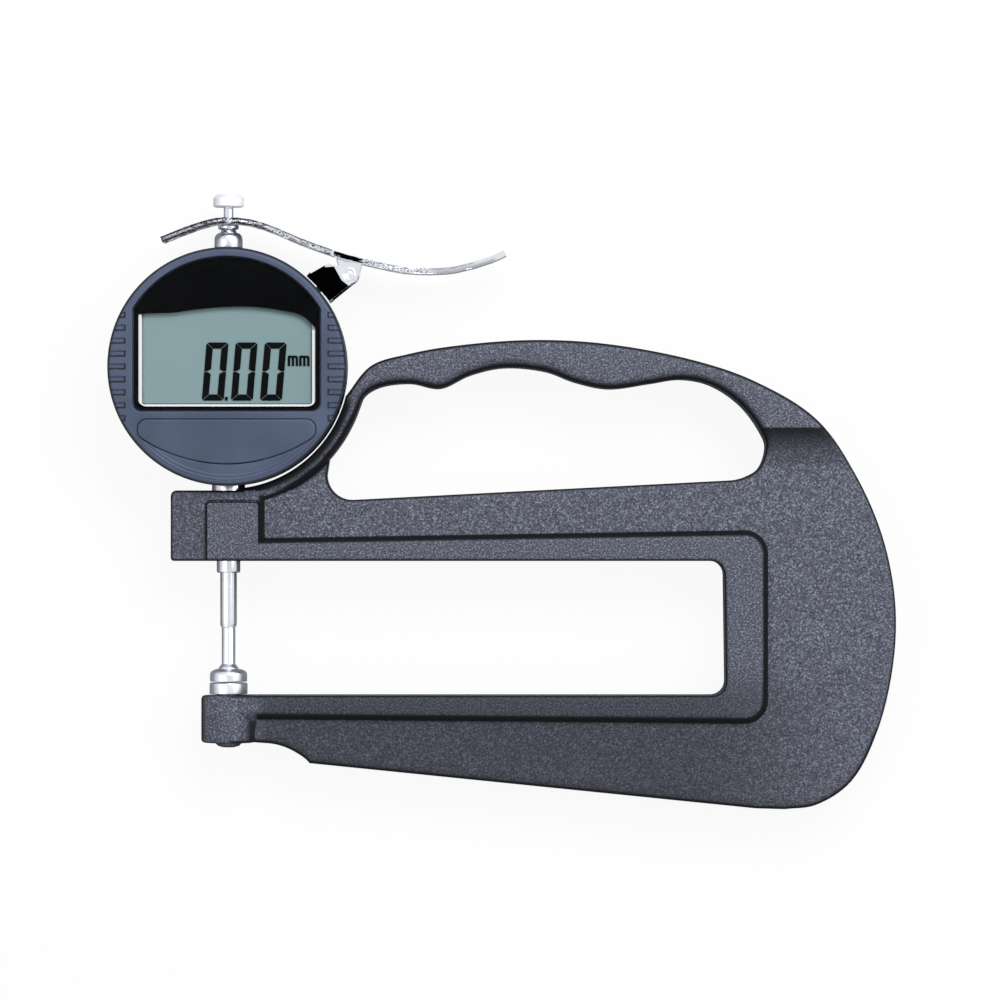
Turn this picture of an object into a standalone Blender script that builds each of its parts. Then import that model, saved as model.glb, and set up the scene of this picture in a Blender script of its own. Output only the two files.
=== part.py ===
# Digital thickness gauge: a deep C frame with a hand grip, a round digital indicator and a lifting lever.
# Lengths are metres. X runs along the throat, Y up the spindle, Z toward the display.
# Places are measured from the spindle axis, the anvil's face and the middle of the casting.

import math

import bmesh
import bpy
from mathutils import Vector

# Throat of the frame
THROAT_DEPTH = 0.1207
THROAT_TOP = 0.0295
THROAT_FLOOR = -0.0030
THROAT_CORNER = 0.0034

# Thickness of the casting, as half thicknesses about its middle
WEB_HALF = 0.0046
BAND_HALF = 0.0070
BLOCK_HALF = 0.0063
HANDLE_HALF = 0.0090

# Raised band round the throat
BAND_TOP_LEFT = 0.0046
BAND_TOP_RIGHT = 0.0063
BAND_BACK = 0.0095
BAND_BOTTOM_LEFT = 0.0055
BAND_BOTTOM_RIGHT = 0.0067
BAND_CORNER = 0.0055
BAND_EDGE = 0.0005
BAND_START = 0.0010

# Block that holds the stem
BLOCK_LEFT = -0.0137
BLOCK_RIGHT = 0.0081
BLOCK_HEIGHT = 0.0170
BLOCK_EDGE = 0.0007
BOSS_LEFT = -0.0050
BOSS_RIGHT = 0.0076
BOSS_HEIGHT = 0.0142
BOSS_CORNER = 0.0009

# Handle and back of the casting
HANDLE_RISE = 0.0064
HANDLE_ROUNDING = 0.0016
HANDLE_INSET = 0.00015
UPPER_ARM_LEFT = 0.0144
UPPER_ARM_RIGHT = 0.0194
RIM_GAP = 0.0007
RIM_WIDTH = 0.0038
RIM_MEETS_ARM = -42.4
BACK_REACH = 0.0406
LOWER_ARM_DEPTH = 0.0305
NOSE_LENGTH = 0.0197
NOSE_DEPTH = 0.0194
RAMP_START = 0.0212
RAMP_LENGTH = 0.0090
RIM_RAMP_SHARE = 0.611

# Anvil and its boss
ANVIL_RADIUS = 0.0046
ANVIL_STUD = 0.0025
ANVIL_STUD_LENGTH = 0.0070
ANVIL_BOSS_RADIUS = 0.0066
ANVIL_BOSS_HEIGHT = 0.0115
DOME_RADIUS = 0.0031
DOME_HEIGHT = 0.0012

# Indicator case
CASE_RADIUS = 0.0287
CASE_WALL = 0.0015
CASE_FRONT = 0.0105
CASE_FRONT_WALL = 0.0026
CASE_CHAMFER = 0.0009
STEM_SHOWN = 0.0011
RIB_COUNT = 9
RIB_SHARE = 0.108
RIB_GROOVE = 0.0012
RIB_DEPTH = 0.0006
RIB_START = 0.0017
RIB_LANDING = 0.0040
COVER_THICKNESS = 0.0016
SPIGOT_HEIGHT = 0.0015
SPIGOT_WIDTH = 0.0012

# Window, display and key pad, with shares of the window's radius
WINDOW_RIM = 0.0018
WINDOW_HALF_SHARE = 0.840
WINDOW_BOTTOM_SHARE = 0.4015
WINDOW_CORNER = 0.0020
WINDOW_LEDGE = 0.0012
WINDOW_RECESS = 0.0006
WINDOW_THICKNESS = 0.0009
MASK_THICKNESS = 0.0003
VIEW_RIM = 0.00135
VIEW_SILL = 0.0009
VIEW_SHOULDER_SHARE = 0.476
VIEW_RISE = 0.0019
DISPLAY_RIM = 0.00085
DISPLAY_OVER = 0.0002
DISPLAY_THICKNESS = 0.0015
HOLDER_WALL = 0.0016
HOLDER_CORNER = 0.0025
PAD_NARROWER = 0.0012
PAD_BELOW = 0.0019
PAD_BOTTOM_SHARE = 0.815
PAD_ARC_SHARE = 1.30
PAD_CORNER_SHARE = 0.077
PAD_PROUD = 0.0004
PAD_FLANGE_NARROWER = 0.0044
PAD_FLANGE_LIP = 0.0010
PAD_FLANGE_THICKNESS = 0.0008
PAD_TRAVEL = 0.0004
PLUNGER_RADIUS = 0.0015
PLUNGER_SPREAD = 0.0100
PLUNGER_DROP = 0.0033
SWITCH_RADIUS = 0.0020
SWITCH_HEIGHT = 0.0005

# Circuit board and what stands on it
BOARD_BACK = 0.0036
BOARD_THICKNESS = 0.0011
BOARD_CLEARANCE = 0.0006
BOARD_CHORD_SHARE = 0.767
CONNECTOR_SHORTER = 0.0019
CONNECTOR_WIDTH = 0.0018

# Screws
BOSS_FROM_WALL = 0.0022
BOSS_ANGLE = 35.0
SCREW_BOSS_RADIUS = 0.0026
COVER_SCREW_HEAD = 0.0019
COVER_SCREW_SHANK = 0.0010
COVER_SCREW_LENGTH = 0.0075
COVER_SCREW_SUNK = 0.0002
BOARD_SCREW_HEAD = 0.0014
BOARD_SCREW_SHANK = 0.0007
BOARD_SCREW_LENGTH = 0.0040
SCREW_HEAD_HEIGHT = 0.0007
CLAMP_SCREW_RADIUS = 0.0020
CLAMP_SCREW_LENGTH = 0.0068
CLAMP_SCREW_SOCKET = 0.0011

# Battery and its cover
BATTERY_RADIUS = 0.0100
BATTERY_THICKNESS = 0.0032
WELL_CLEARANCE = 0.0004
WELL_FLOOR = 0.0006
WELL_WALL = 0.0012
CONTACT_THICKNESS = 0.00025
CONTACT_WIDTH = 0.0030
CONTACT_REACH = 0.0089
CONTACT_ANGLE = 30.0
CONTACT_SPAN_LONG = 0.0045
CONTACT_SPAN_SHORT = 0.0020
DOOR_RADIUS = 0.0125
DOOR_THICKNESS = 0.0010
DOOR_SUNK = 0.0002
DOOR_SKIRT = 0.0006
LUG_REACH = 0.0010
LUG_HEIGHT = 0.0006
LUG_COUNT = 3
LUG_ANGLE = 20.0
NOTCH_MARGIN = 2.0
LIP_STEP = 0.0002
LIP_THICKNESS = 0.0005
GROOVE_HEIGHT = 0.0010
DOOR_TURN = 45.0
COIN_SLOT_LENGTH = 0.0130
COIN_SLOT_WIDTH = 0.0016
COIN_SLOT_DEPTH = 0.0006

# Stem, bushes and spindle
STEM_RADIUS = 0.0040
STEM_BORE = 0.0030
STEM_INSIDE = 0.0045
STEM_SOCKET = 0.0056
LOWER_BUSH_TIP = 0.0029
LOWER_BUSH_LENGTH = 0.0120
SPINDLE_RADIUS = 0.0020
SPINDLE_FOOT = 0.0135
SPINDLE_NECK = 0.00115
UPPER_BUSH_RADIUS = 0.0034
UPPER_BUSH_HEIGHT = 0.0036
UPPER_BUSH_INSIDE = 0.0048
UPPER_BUSH_SHANK = 0.0030
BUSH_SEAT_GAP = 0.0002
UPPER_BOSS_RADIUS = 0.0048
COLLAR_GAP = 0.0008
COLLAR_RADIUS = 0.0025
COLLAR_HEIGHT = 0.0012
CAP_GAP = 0.0042
CAP_RADIUS = 0.0037
CAP_HEIGHT = 0.0030
CONTACT_GAP = 0.0003
CONTACT_RADIUS = 0.0045
CONTACT_HEIGHT = 0.0030
CONTACT_SHANK = 0.0016
SPINDLE_TRAVEL = 0.0100

# Scale carrier, guide and return spring
CARRIER_HALF = 0.0050
CARRIER_HEIGHT = 0.0160
CARRIER_DROP = 0.0122
CARRIER_WALL = 0.0010
CARRIER_CLEARANCE = 0.00045
CARRIER_FRONT = 0.0029
SCALE_THICKNESS = 0.0004
SCALE_LENGTH = 0.0208
CARRIER_SCREW_RADIUS = 0.0009
GUIDE_PIN_RADIUS = 0.0008
GUIDE_PIN_LENGTH = 0.0062
GUIDE_NEAR = 0.0073
GUIDE_WIDTH = 0.0032
GUIDE_HALF = 0.0022
GUIDE_SLOT_HALF = 0.0010
SPRING_WIRE = 0.00022
SPRING_RADIUS = 0.0031
SPRING_TURNS = 8

# Lifting lever and its bracket
PIVOT_OUT = 0.00814
PIVOT_ANGLE = 37.06
LEVER_THICKNESS = 0.0014
LEVER_REST_GAP = 0.0002
LEVER_HALF = 0.0045
LEVER_TAIL = 0.0160
LEVER_REACH = 0.0375
FORK_HALF = 0.0016
FORK_END = 0.0024
EAR_THICKNESS = 0.0010
EAR_RADIUS = 0.0022
PIN_RADIUS = 0.0010
PIN_HEAD_RADIUS = 0.0016
PIN_HEAD_HEIGHT = 0.0006
CLIP_RADIUS = 0.0021
CLIP_THICKNESS = 0.0004
CHEEK_THICKNESS = 0.0012
CHEEK_NOSE = 0.0020
BRACKET_ANGLE = 40.8
BRACKET_SPREAD = 8.2
BRACKET_BASE = 0.0012
BRACKET_SCREW_HEAD = 0.0014
BRACKET_SCREW_SHANK = 0.0007
BRACKET_SCREW_SPREAD = 0.0024

# Clearances
BOND_GAP = 0.0001
SEAT_GAP = 0.0003
RUN_GAP = 0.00015
SMALL_EDGE = 0.0003
LARGE_EDGE = 0.0008
MERGE_DISTANCE = 0.000001

# Fineness of round shapes
FINE_STEPS = 48
ROUND_STEPS = 24
SMALL_STEPS = 16

# Places worked out from the sizes above
BLOCK_TOP = THROAT_TOP + BLOCK_HEIGHT
CASE_Y = BLOCK_TOP + STEM_SHOWN + CASE_RADIUS
CARRIER_BACK = -SPINDLE_RADIUS - CARRIER_WALL
CELL_FRONT = CARRIER_BACK - CARRIER_CLEARANCE - WELL_FLOOR - CONTACT_THICKNESS - 2 * BOND_GAP
DOOR_FRONT = CELL_FRONT - BATTERY_THICKNESS - BOND_GAP
REST_Z = DOOR_FRONT - DOOR_THICKNESS - DOOR_SUNK
CASE_INNER = CASE_RADIUS - CASE_WALL
WALL_BACK = CASE_FRONT - CASE_FRONT_WALL
COVER_FRONT = REST_Z + COVER_THICKNESS
CASE_BACK = COVER_FRONT + SEAT_GAP
BOARD_FRONT = BOARD_BACK + BOARD_THICKNESS
RIM_INNER = CASE_RADIUS + RIM_GAP
RIM_OUTER = RIM_INNER + RIM_WIDTH
HANDLE_TOP = CASE_Y + HANDLE_RISE
BUSH_SEAT = CASE_Y + CASE_RADIUS + BUSH_SEAT_GAP
BUSH_FOOT = BUSH_SEAT - UPPER_BUSH_INSIDE
BUSH_TOP = BUSH_SEAT + UPPER_BUSH_HEIGHT
COLLAR_BOTTOM = BUSH_TOP + COLLAR_GAP
COLLAR_TOP = COLLAR_BOTTOM + COLLAR_HEIGHT
CAP_BOTTOM = COLLAR_TOP + CAP_GAP
PIVOT_X = (CASE_RADIUS + PIVOT_OUT) * math.cos(math.radians(PIVOT_ANGLE))
PIVOT_Y = CASE_Y + (CASE_RADIUS + PIVOT_OUT) * math.sin(math.radians(PIVOT_ANGLE))
CHEEK_INNER = LEVER_HALF + SEAT_GAP
CHEEK_OUTER = CHEEK_INNER + CHEEK_THICKNESS
WINDOW_RADIUS = CASE_RADIUS - WINDOW_RIM
WINDOW_HALF = WINDOW_RADIUS * WINDOW_HALF_SHARE
WINDOW_BOTTOM = -WINDOW_RADIUS * WINDOW_BOTTOM_SHARE
VIEW_HALF = WINDOW_HALF - VIEW_RIM
VIEW_BOTTOM = WINDOW_BOTTOM + VIEW_SILL
VIEW_SHOULDER = WINDOW_RADIUS * VIEW_SHOULDER_SHARE
VIEW_CROWN = VIEW_SHOULDER + VIEW_RISE
DISPLAY_HALF = VIEW_HALF - DISPLAY_RIM
DISPLAY_BOTTOM = VIEW_BOTTOM + DISPLAY_RIM
DISPLAY_TOP = VIEW_CROWN + DISPLAY_OVER
CONNECTOR_HALF = DISPLAY_HALF - CONNECTOR_SHORTER
PAD_HALF = WINDOW_HALF - PAD_NARROWER
PAD_TOP = WINDOW_BOTTOM - PAD_BELOW
PAD_BOTTOM = -CASE_RADIUS * PAD_BOTTOM_SHARE
PAD_ARC = CASE_RADIUS * PAD_ARC_SHARE
PAD_CORNER = CASE_RADIUS * PAD_CORNER_SHARE
PAD_FLANGE_HALF = PAD_HALF - PAD_FLANGE_NARROWER
BOARD_RADIUS = CASE_INNER - BOARD_CLEARANCE
BOARD_CHORD = BOARD_RADIUS * BOARD_CHORD_SHARE
BOSS_SPREAD = CASE_INNER - BOSS_FROM_WALL
RIB_PITCH = CASE_RADIUS * RIB_SHARE
RIB_INNER = WINDOW_HALF + RIB_START

LOOKS = {
    "coated": ((99, 103, 115), 0.2, 0.55),
    "case": ((80, 90, 112), 0.0, 0.35),
    "pad": ((81, 91, 113), 0.0, 0.40),
    "chrome": ((212, 215, 221), 1.0, 0.12),
    "steel": ((196, 199, 206), 1.0, 0.25),
    "dark steel": ((70, 72, 78), 1.0, 0.35),
    "black": ((14, 15, 18), 0.0, 0.30),
    "white": ((225, 228, 230), 0.0, 0.45),
    "clear": ((235, 240, 242), 0.0, 0.05),
    "display": ((137, 160, 160), 0.0, 0.20),
    "board": ((28, 92, 60), 0.0, 0.50),
    "brass": ((190, 156, 90), 1.0, 0.30),
    "rubber": ((52, 54, 58), 0.0, 0.80),
}

TURN = {"X": (0.0, math.pi / 2, 0.0), "Y": (-math.pi / 2, 0.0, 0.0), "Z": (0.0, 0.0, 0.0)}


# Scene and material helpers

for leftover in list(bpy.data.objects):
    bpy.data.objects.remove(leftover, do_unlink=True)

parts = bpy.data.collections.new("digital_thickness_gauge")
tools = bpy.data.collections.new("construction")
bpy.context.scene.collection.children.link(parts)
bpy.context.scene.collection.children.link(tools)

gauge = bpy.data.objects.new("gauge_frame", None)
parts.objects.link(gauge)


def linear(channel):
    share = channel / 255
    if share <= 0.04045:
        return share / 12.92
    return ((share + 0.055) / 1.055) ** 2.4


def new_object(name, data):
    obj = bpy.data.objects.new(name, data)
    tools.objects.link(obj)
    obj.parent = gauge
    obj.hide_render = True
    obj.display_type = "WIRE"
    return obj


def keep(obj, name, look):
    colour, metallic, roughness = LOOKS[look]
    finish = bpy.data.materials.new(name)
    finish.use_nodes = True
    shader = finish.node_tree.nodes["Principled BSDF"]
    shader.inputs["Base Color"].default_value = (*[linear(channel) for channel in colour], 1.0)
    shader.inputs["Metallic"].default_value = metallic
    shader.inputs["Roughness"].default_value = roughness
    obj.name = name
    obj.data.name = name
    obj.data.materials.clear()
    obj.data.materials.append(finish)
    tools.objects.unlink(obj)
    parts.objects.link(obj)
    obj.hide_render = False
    obj.display_type = "TEXTURED"
    if obj.type == "MESH":
        obj.data.shade_smooth()
        obj.data.set_sharp_from_angle(angle=math.radians(35))
    return obj


def as_mesh(obj):
    bpy.context.view_layer.update()
    depsgraph = bpy.context.evaluated_depsgraph_get()
    mesh = bpy.data.meshes.new_from_object(obj.evaluated_get(depsgraph))
    work = bmesh.new()
    work.from_mesh(mesh)
    bmesh.ops.remove_doubles(work, verts=work.verts, dist=MERGE_DISTANCE)
    bmesh.ops.recalc_face_normals(work, faces=work.faces)
    work.to_mesh(mesh)
    work.free()
    made = new_object(obj.name, mesh)
    made.location = obj.location
    made.rotation_euler = obj.rotation_euler
    bpy.data.objects.remove(obj, do_unlink=True)
    return made


def boolean(obj, operation, *others):
    for other in others:
        step = obj.modifiers.new(other.name, "BOOLEAN")
        step.operation = operation
        step.solver = "EXACT"
        step.object = other
    return obj


# Shape helpers

def turned(name, profile, at=(0.0, 0.0, 0.0), along="Y", steps=ROUND_STEPS):
    # The profile holds (radius, height) pairs, from the top of the outer side down.
    mesh = bpy.data.meshes.new(name)
    edges = [(index, index + 1) for index in range(len(profile) - 1)]
    if profile[0][0] > 0:
        edges.append((len(profile) - 1, 0))
    mesh.from_pydata([(radius, 0.0, height) for radius, height in profile], edges, [])
    obj = new_object(name, mesh)
    obj.location = at
    obj.rotation_euler = TURN[along]
    screw = obj.modifiers.new("turn", "SCREW")
    screw.steps = steps
    screw.render_steps = steps
    screw.use_merge_vertices = True
    screw.merge_threshold = MERGE_DISTANCE
    return as_mesh(obj)


def rod(name, radius, low, high, at=(0.0, 0.0, 0.0), along="Y", steps=ROUND_STEPS):
    return turned(name, [(0.0, high), (radius, high), (radius, low), (0.0, low)], at, along, steps)


def tube(name, outer, inner, low, high, at=(0.0, 0.0, 0.0), along="Y", steps=ROUND_STEPS):
    return turned(name, [(outer, high), (outer, low), (inner, low), (inner, high)], at, along, steps)


def box(name, low, high, edge=0.0, segments=2):
    mesh = bpy.data.meshes.new(name)
    work = bmesh.new()
    bmesh.ops.create_cube(work, size=1.0)
    size = Vector(high) - Vector(low)
    bmesh.ops.scale(work, vec=size, verts=work.verts)
    work.to_mesh(mesh)
    work.free()
    obj = new_object(name, mesh)
    obj.location = (Vector(low) + Vector(high)) / 2
    if edge > 0:
        rounding = obj.modifiers.new("edges", "BEVEL")
        rounding.width = edge
        rounding.segments = segments
    return obj


def plate(name, outlines, low, high, rounding=0.0, segments=1, inset=0.0):
    # The first outline is the outside and any others are holes.
    curve = bpy.data.curves.new(name, "CURVE")
    curve.dimensions = "2D"
    curve.fill_mode = "BOTH"
    curve.extrude = (high - low) / 2 - rounding
    curve.bevel_depth = rounding
    curve.bevel_resolution = segments - 1
    curve.offset = -rounding - inset
    for outline in outlines:
        spline = curve.splines.new("POLY")
        spline.points.add(len(outline) - 1)
        for point, (x, y) in zip(spline.points, outline):
            point.co = (x, y, 0.0, 1.0)
        spline.use_cyclic_u = True
    obj = new_object(name, curve)
    obj.location = (0.0, 0.0, (low + high) / 2)
    return as_mesh(obj)


def side_prism(name, outline, left, right):
    # The outline holds (y, z) pairs and the prism runs along X.
    obj = plate(name, [outline], -(right - left) / 2, (right - left) / 2)
    obj.rotation_euler = (math.pi / 2, 0.0, math.pi / 2)
    obj.location = ((left + right) / 2, 0.0, 0.0)
    return obj


def arc(centre, radius, start, end, count):
    points = []
    for step in range(count + 1):
        angle = math.radians(start + (end - start) * step / count)
        points.append((centre[0] + radius * math.cos(angle), centre[1] + radius * math.sin(angle)))
    return points


def rounded(corners, steps=4):
    # Each corner is (x, y, radius), and a radius of 0 leaves it sharp.
    outline = []
    count = len(corners)
    for index, (x, y, radius) in enumerate(corners):
        here = Vector((x, y))
        if radius <= 0:
            outline.append(here[:])
            continue
        before = (Vector(corners[index - 1][:2]) - here).normalized()
        after = (Vector(corners[(index + 1) % count][:2]) - here).normalized()
        half = before.angle(after) / 2
        start = here + before * radius / math.tan(half)
        end = here + after * radius / math.tan(half)
        centre = here + (before + after).normalized() * radius / math.sin(half)
        first = (start - centre).normalized()
        last = (end - centre).normalized()
        for step in range(steps + 1):
            outline.append((centre + first.slerp(last, step / steps) * radius)[:])
    return outline


def smooth(points, steps=4):
    # Open centripetal spline through the points, both ends included.
    spots = [Vector(point) for point in points]
    spots.insert(0, 2 * spots[0] - spots[1])
    spots.append(2 * spots[-1] - spots[-2])
    line = []
    for index in range(1, len(spots) - 2):
        a, b, c, d = spots[index - 1:index + 3]
        t1 = (b - a).length ** 0.5
        t2 = t1 + (c - b).length ** 0.5
        t3 = t2 + (d - c).length ** 0.5
        for step in range(steps):
            t = t1 + (t2 - t1) * step / steps
            ab = a.lerp(b, t / t1)
            bc = b.lerp(c, (t - t1) / (t2 - t1))
            cd = c.lerp(d, (t - t2) / (t3 - t2))
            abc = ab.lerp(bc, t / t2)
            bcd = bc.lerp(cd, (t - t1) / (t3 - t1))
            line.append(abc.lerp(bcd, (t - t1) / (t2 - t1))[:])
    line.append(spots[-2][:])
    return line


def on_case(angle, radius):
    turn = math.radians(angle)
    return (radius * math.cos(turn), CASE_Y + radius * math.sin(turn))


# Outlines of the casting

def along_handle(spots):
    # Each spot is a share of the way from the rim to the back of the throat and a drop below the top.
    return [(RIM_OUTER + share * (THROAT_DEPTH - RIM_OUTER), HANDLE_TOP - drop) for share, drop in spots]


def crown_line():
    # Upper edge of the handle.
    spots = [(0.0165, 0.0062), (0.1227, 0.0033), (0.2469, 0.0014), (0.4551, 0.0), (0.6620, 0.0009),
             (0.9103, 0.0050)]
    return [on_case(-14.1, RIM_INNER)] + along_handle(spots)


def shoulder_line():
    # Back of the handle, as reaches past the throat and drops below the handle's top.
    spots = [(0.0067, 0.0101), (0.0212, 0.0191), (0.0316, 0.0338)]
    return [(THROAT_DEPTH + reach, HANDLE_TOP - drop) for reach, drop in spots]


def heel_line():
    # Back of the web down to the lower arm, as shares of the reach and heights over the anvil.
    spots = [(0.946, 0.0315), (1.0, 0.0126), (0.909, -0.0092), (0.736, -0.0237), (0.522, -0.0295)]
    line = [(THROAT_DEPTH + share * BACK_REACH, height) for share, height in spots]
    line.append((THROAT_DEPTH + 0.34 * BACK_REACH, -LOWER_ARM_DEPTH))
    return line


def silhouette():
    line = arc((0.0, CASE_Y), RIM_INNER, -82.0, -16.0, 14)
    line += smooth(crown_line() + shoulder_line() + heel_line(), 3)
    line.append((THROAT_DEPTH + 0.0067, 0.0002 - LOWER_ARM_DEPTH))
    nose = [(1.0, 1.0), (0.939, 0.938), (0.756, 0.825), (0.574, 0.763), (0.355, 0.742)]
    line += smooth([(NOSE_LENGTH * along, -NOSE_DEPTH * down) for along, down in nose], 2)
    line.append((BAND_START, -NOSE_DEPTH * 0.72))
    line.append((BAND_START, THROAT_FLOOR - BAND_BOTTOM_LEFT / 2))
    line.append((THROAT_DEPTH + BAND_BACK / 3, THROAT_FLOOR - BAND_BOTTOM_LEFT / 2))
    line.append((THROAT_DEPTH + BAND_BACK / 3, THROAT_TOP + BAND_TOP_LEFT / 2))
    line.append((BLOCK_RIGHT - 0.0030, THROAT_TOP + BAND_TOP_LEFT / 2))
    line.append((BLOCK_RIGHT - 0.0030, BLOCK_TOP - 0.0060))
    return line


def grip_line():
    # Underside of the handle from its left end, with the finger grips.
    spots = [(-0.0029, 0.0135), (0.0399, 0.0113), (0.1227, 0.0104), (0.2055, 0.0116), (0.2882, 0.0084),
             (0.3793, 0.0066), (0.4965, 0.0075), (0.5779, 0.0101), (0.6703, 0.0117), (0.7862, 0.0104),
             (0.8690, 0.0094), (0.9518, 0.0108)]
    return [on_case(-17.6, RIM_OUTER)] + along_handle(spots)


def grip_end():
    # Right end of the finger hole, as reaches past the throat and drops below the top.
    spots = [(0.0031, 0.0157), (0.0079, 0.0222), (0.0091, 0.0256)]
    return [(THROAT_DEPTH + reach, HANDLE_TOP - drop) for reach, drop in spots]


def finger_hole():
    right = THROAT_TOP + UPPER_ARM_RIGHT
    line = smooth(grip_line() + grip_end() + [(THROAT_DEPTH + 0.0074, right + 0.0029),
                  (THROAT_DEPTH + 0.0031, right + 0.0002), (THROAT_DEPTH, right)], 3)
    meet_x, meet_y = on_case(RIM_MEETS_ARM, RIM_OUTER)
    corner = meet_x - 0.0006
    line += rounded([(THROAT_DEPTH, right, 0.0), (corner, THROAT_TOP + UPPER_ARM_LEFT, 0.0060),
                     (corner, meet_y, 0.0)], 6)[1:-1]
    line += arc((0.0, CASE_Y), RIM_OUTER, RIM_MEETS_ARM, -19.0, 6)
    return line


def handle_outline():
    # Thick part of the casting: the rim round the case and the grip, down to the ramp at the back.
    line = arc((0.0, CASE_Y), RIM_INNER, -79.0, -16.0, 14)
    line += smooth(crown_line() + shoulder_line(), 3)[:-1]
    line.append((THROAT_DEPTH + 0.0080, HANDLE_TOP - 0.0305))
    line += reversed(smooth(grip_line() + grip_end(), 3))
    line += reversed(arc((0.0, CASE_Y), RIM_OUTER, -79.0, -19.0, 14))
    return line


def band_outline():
    back = THROAT_DEPTH + BAND_BACK
    left = BLOCK_RIGHT - 0.0020
    return rounded([(left, THROAT_TOP, 0.0), (THROAT_DEPTH, THROAT_TOP, THROAT_CORNER),
                    (THROAT_DEPTH, THROAT_FLOOR, THROAT_CORNER), (BAND_START, THROAT_FLOOR, 0.0),
                    (BAND_START, THROAT_FLOOR - BAND_BOTTOM_LEFT, 0.0),
                    (back, THROAT_FLOOR - BAND_BOTTOM_RIGHT, BAND_CORNER),
                    (back, THROAT_TOP + BAND_TOP_RIGHT, BAND_CORNER),
                    (left, THROAT_TOP + BAND_TOP_LEFT, 0.0)], 5)


def ramp_cutters(name, top, bottom, half_bottom, left, right):
    # Slopes both faces of the handle down from its full thickness.
    slope = (HANDLE_HALF - half_bottom) / (top - bottom)
    below = bottom - 0.006
    deep = half_bottom - slope * 0.006
    far = HANDLE_HALF + 0.003
    line = [(top, HANDLE_HALF), (top, far), (below, far), (below, deep)]
    front = side_prism(name + " front", line, left, right)
    back = side_prism(name + " back", [(y, -z) for y, z in line], left, right)
    return front, back


def frame_casting():
    web = plate("web", [silhouette(), finger_hole()], -WEB_HALF, WEB_HALF)
    handle = plate("handle", [handle_outline()], -HANDLE_HALF, HANDLE_HALF, HANDLE_ROUNDING, 2, HANDLE_INSET)
    ramp_top = HANDLE_TOP - RAMP_START
    rim_top = CASE_Y - RIM_OUTER * RIM_RAMP_SHARE
    back = ramp_cutters("back ramp", ramp_top, ramp_top - RAMP_LENGTH, WEB_HALF, THROAT_DEPTH + 0.004,
                        THROAT_DEPTH + BACK_REACH + 0.004)
    rim = ramp_cutters("rim ramp", rim_top, rim_top - RAMP_LENGTH, BLOCK_HALF, -0.0040, RIM_OUTER * 0.807)
    boolean(handle, "DIFFERENCE", *back, *rim)
    band = plate("band", [band_outline()], -BAND_HALF, BAND_HALF, BAND_EDGE)
    block = box("block", (BLOCK_LEFT, THROAT_TOP, -BLOCK_HALF), (BLOCK_RIGHT, BLOCK_TOP, BLOCK_HALF),
                BLOCK_EDGE)
    boss_top = THROAT_TOP + BOSS_HEIGHT
    boss_line = rounded([(BOSS_LEFT, THROAT_TOP, 0.0002), (BOSS_RIGHT, THROAT_TOP, 0.0002),
                         (BOSS_RIGHT, boss_top, BOSS_CORNER), (BOSS_LEFT, boss_top, BOSS_CORNER)])
    boss = plate("boss", [boss_line], -BAND_HALF, BAND_HALF, BAND_EDGE / 2)
    foot = THROAT_FLOOR - ANVIL_BOSS_HEIGHT
    post = turned("anvil post", [
        (0.0, THROAT_FLOOR), (ANVIL_BOSS_RADIUS - LARGE_EDGE, THROAT_FLOOR),
        (ANVIL_BOSS_RADIUS, THROAT_FLOOR - LARGE_EDGE), (ANVIL_BOSS_RADIUS, foot + LARGE_EDGE),
        (ANVIL_BOSS_RADIUS - LARGE_EDGE, foot), (DOME_RADIUS, foot), (DOME_RADIUS * 0.8, foot - DOME_HEIGHT * 0.75),
        (DOME_RADIUS * 0.4, foot - DOME_HEIGHT), (0.0, foot - DOME_HEIGHT)])
    boolean(web, "UNION", handle, band, block, boss, post)
    stem_hole = rod("stem hole", STEM_RADIUS + SEAT_GAP, THROAT_TOP - 0.002, BLOCK_TOP + 0.004)
    screw_y = THROAT_TOP + BLOCK_HEIGHT / 2
    screw_hole = rod("clamp screw hole", CLAMP_SCREW_RADIUS + SEAT_GAP, BLOCK_LEFT - 0.002, 0.0,
                     (0.0, screw_y, 0.0), "X", SMALL_STEPS)
    anvil_hole = rod("anvil hole", ANVIL_STUD + SEAT_GAP, THROAT_FLOOR - ANVIL_STUD_LENGTH - SEAT_GAP,
                     THROAT_FLOOR + 0.002)
    boolean(web, "DIFFERENCE", stem_hole, screw_hole, anvil_hole)
    keep(web, "frame_casting", "coated")


def anvil():
    seat = THROAT_FLOOR + SEAT_GAP
    stud = THROAT_FLOOR - ANVIL_STUD_LENGTH
    keep(turned("anvil", [(0.0, 0.0), (ANVIL_RADIUS - SMALL_EDGE, 0.0), (ANVIL_RADIUS, -SMALL_EDGE),
                          (ANVIL_RADIUS, seat), (ANVIL_STUD, seat), (ANVIL_STUD, stud), (0.0, stud)]),
         "anvil", "chrome")


def stem_clamp_screw():
    tip = -STEM_RADIUS - SEAT_GAP
    head = tip - CLAMP_SCREW_LENGTH
    screw = rod("clamp screw", CLAMP_SCREW_RADIUS, head, tip, (0.0, THROAT_TOP + BLOCK_HEIGHT / 2, 0.0), "X",
                SMALL_STEPS)
    socket = rod("hex socket", CLAMP_SCREW_SOCKET, head - 0.001, head + 0.0025,
                 (0.0, THROAT_TOP + BLOCK_HEIGHT / 2, 0.0), "X", 6)
    keep(boolean(screw, "DIFFERENCE", socket), "stem_clamp_screw", "dark steel")


# Indicator housing

def window_outline(inset=0.0):
    half = WINDOW_HALF - inset
    radius = WINDOW_RADIUS - inset
    bottom = WINDOW_BOTTOM + inset
    rise = math.degrees(math.acos(half / radius))
    line = arc((0.0, 0.0), radius, rise, 180.0 - rise, 24)
    line += rounded([line[-1] + (0.0,), (-half, bottom, WINDOW_CORNER), (half, bottom, WINDOW_CORNER),
                     line[0] + (0.0,)], 4)[1:-1]
    return [(x, CASE_Y + y) for x, y in line]


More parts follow.
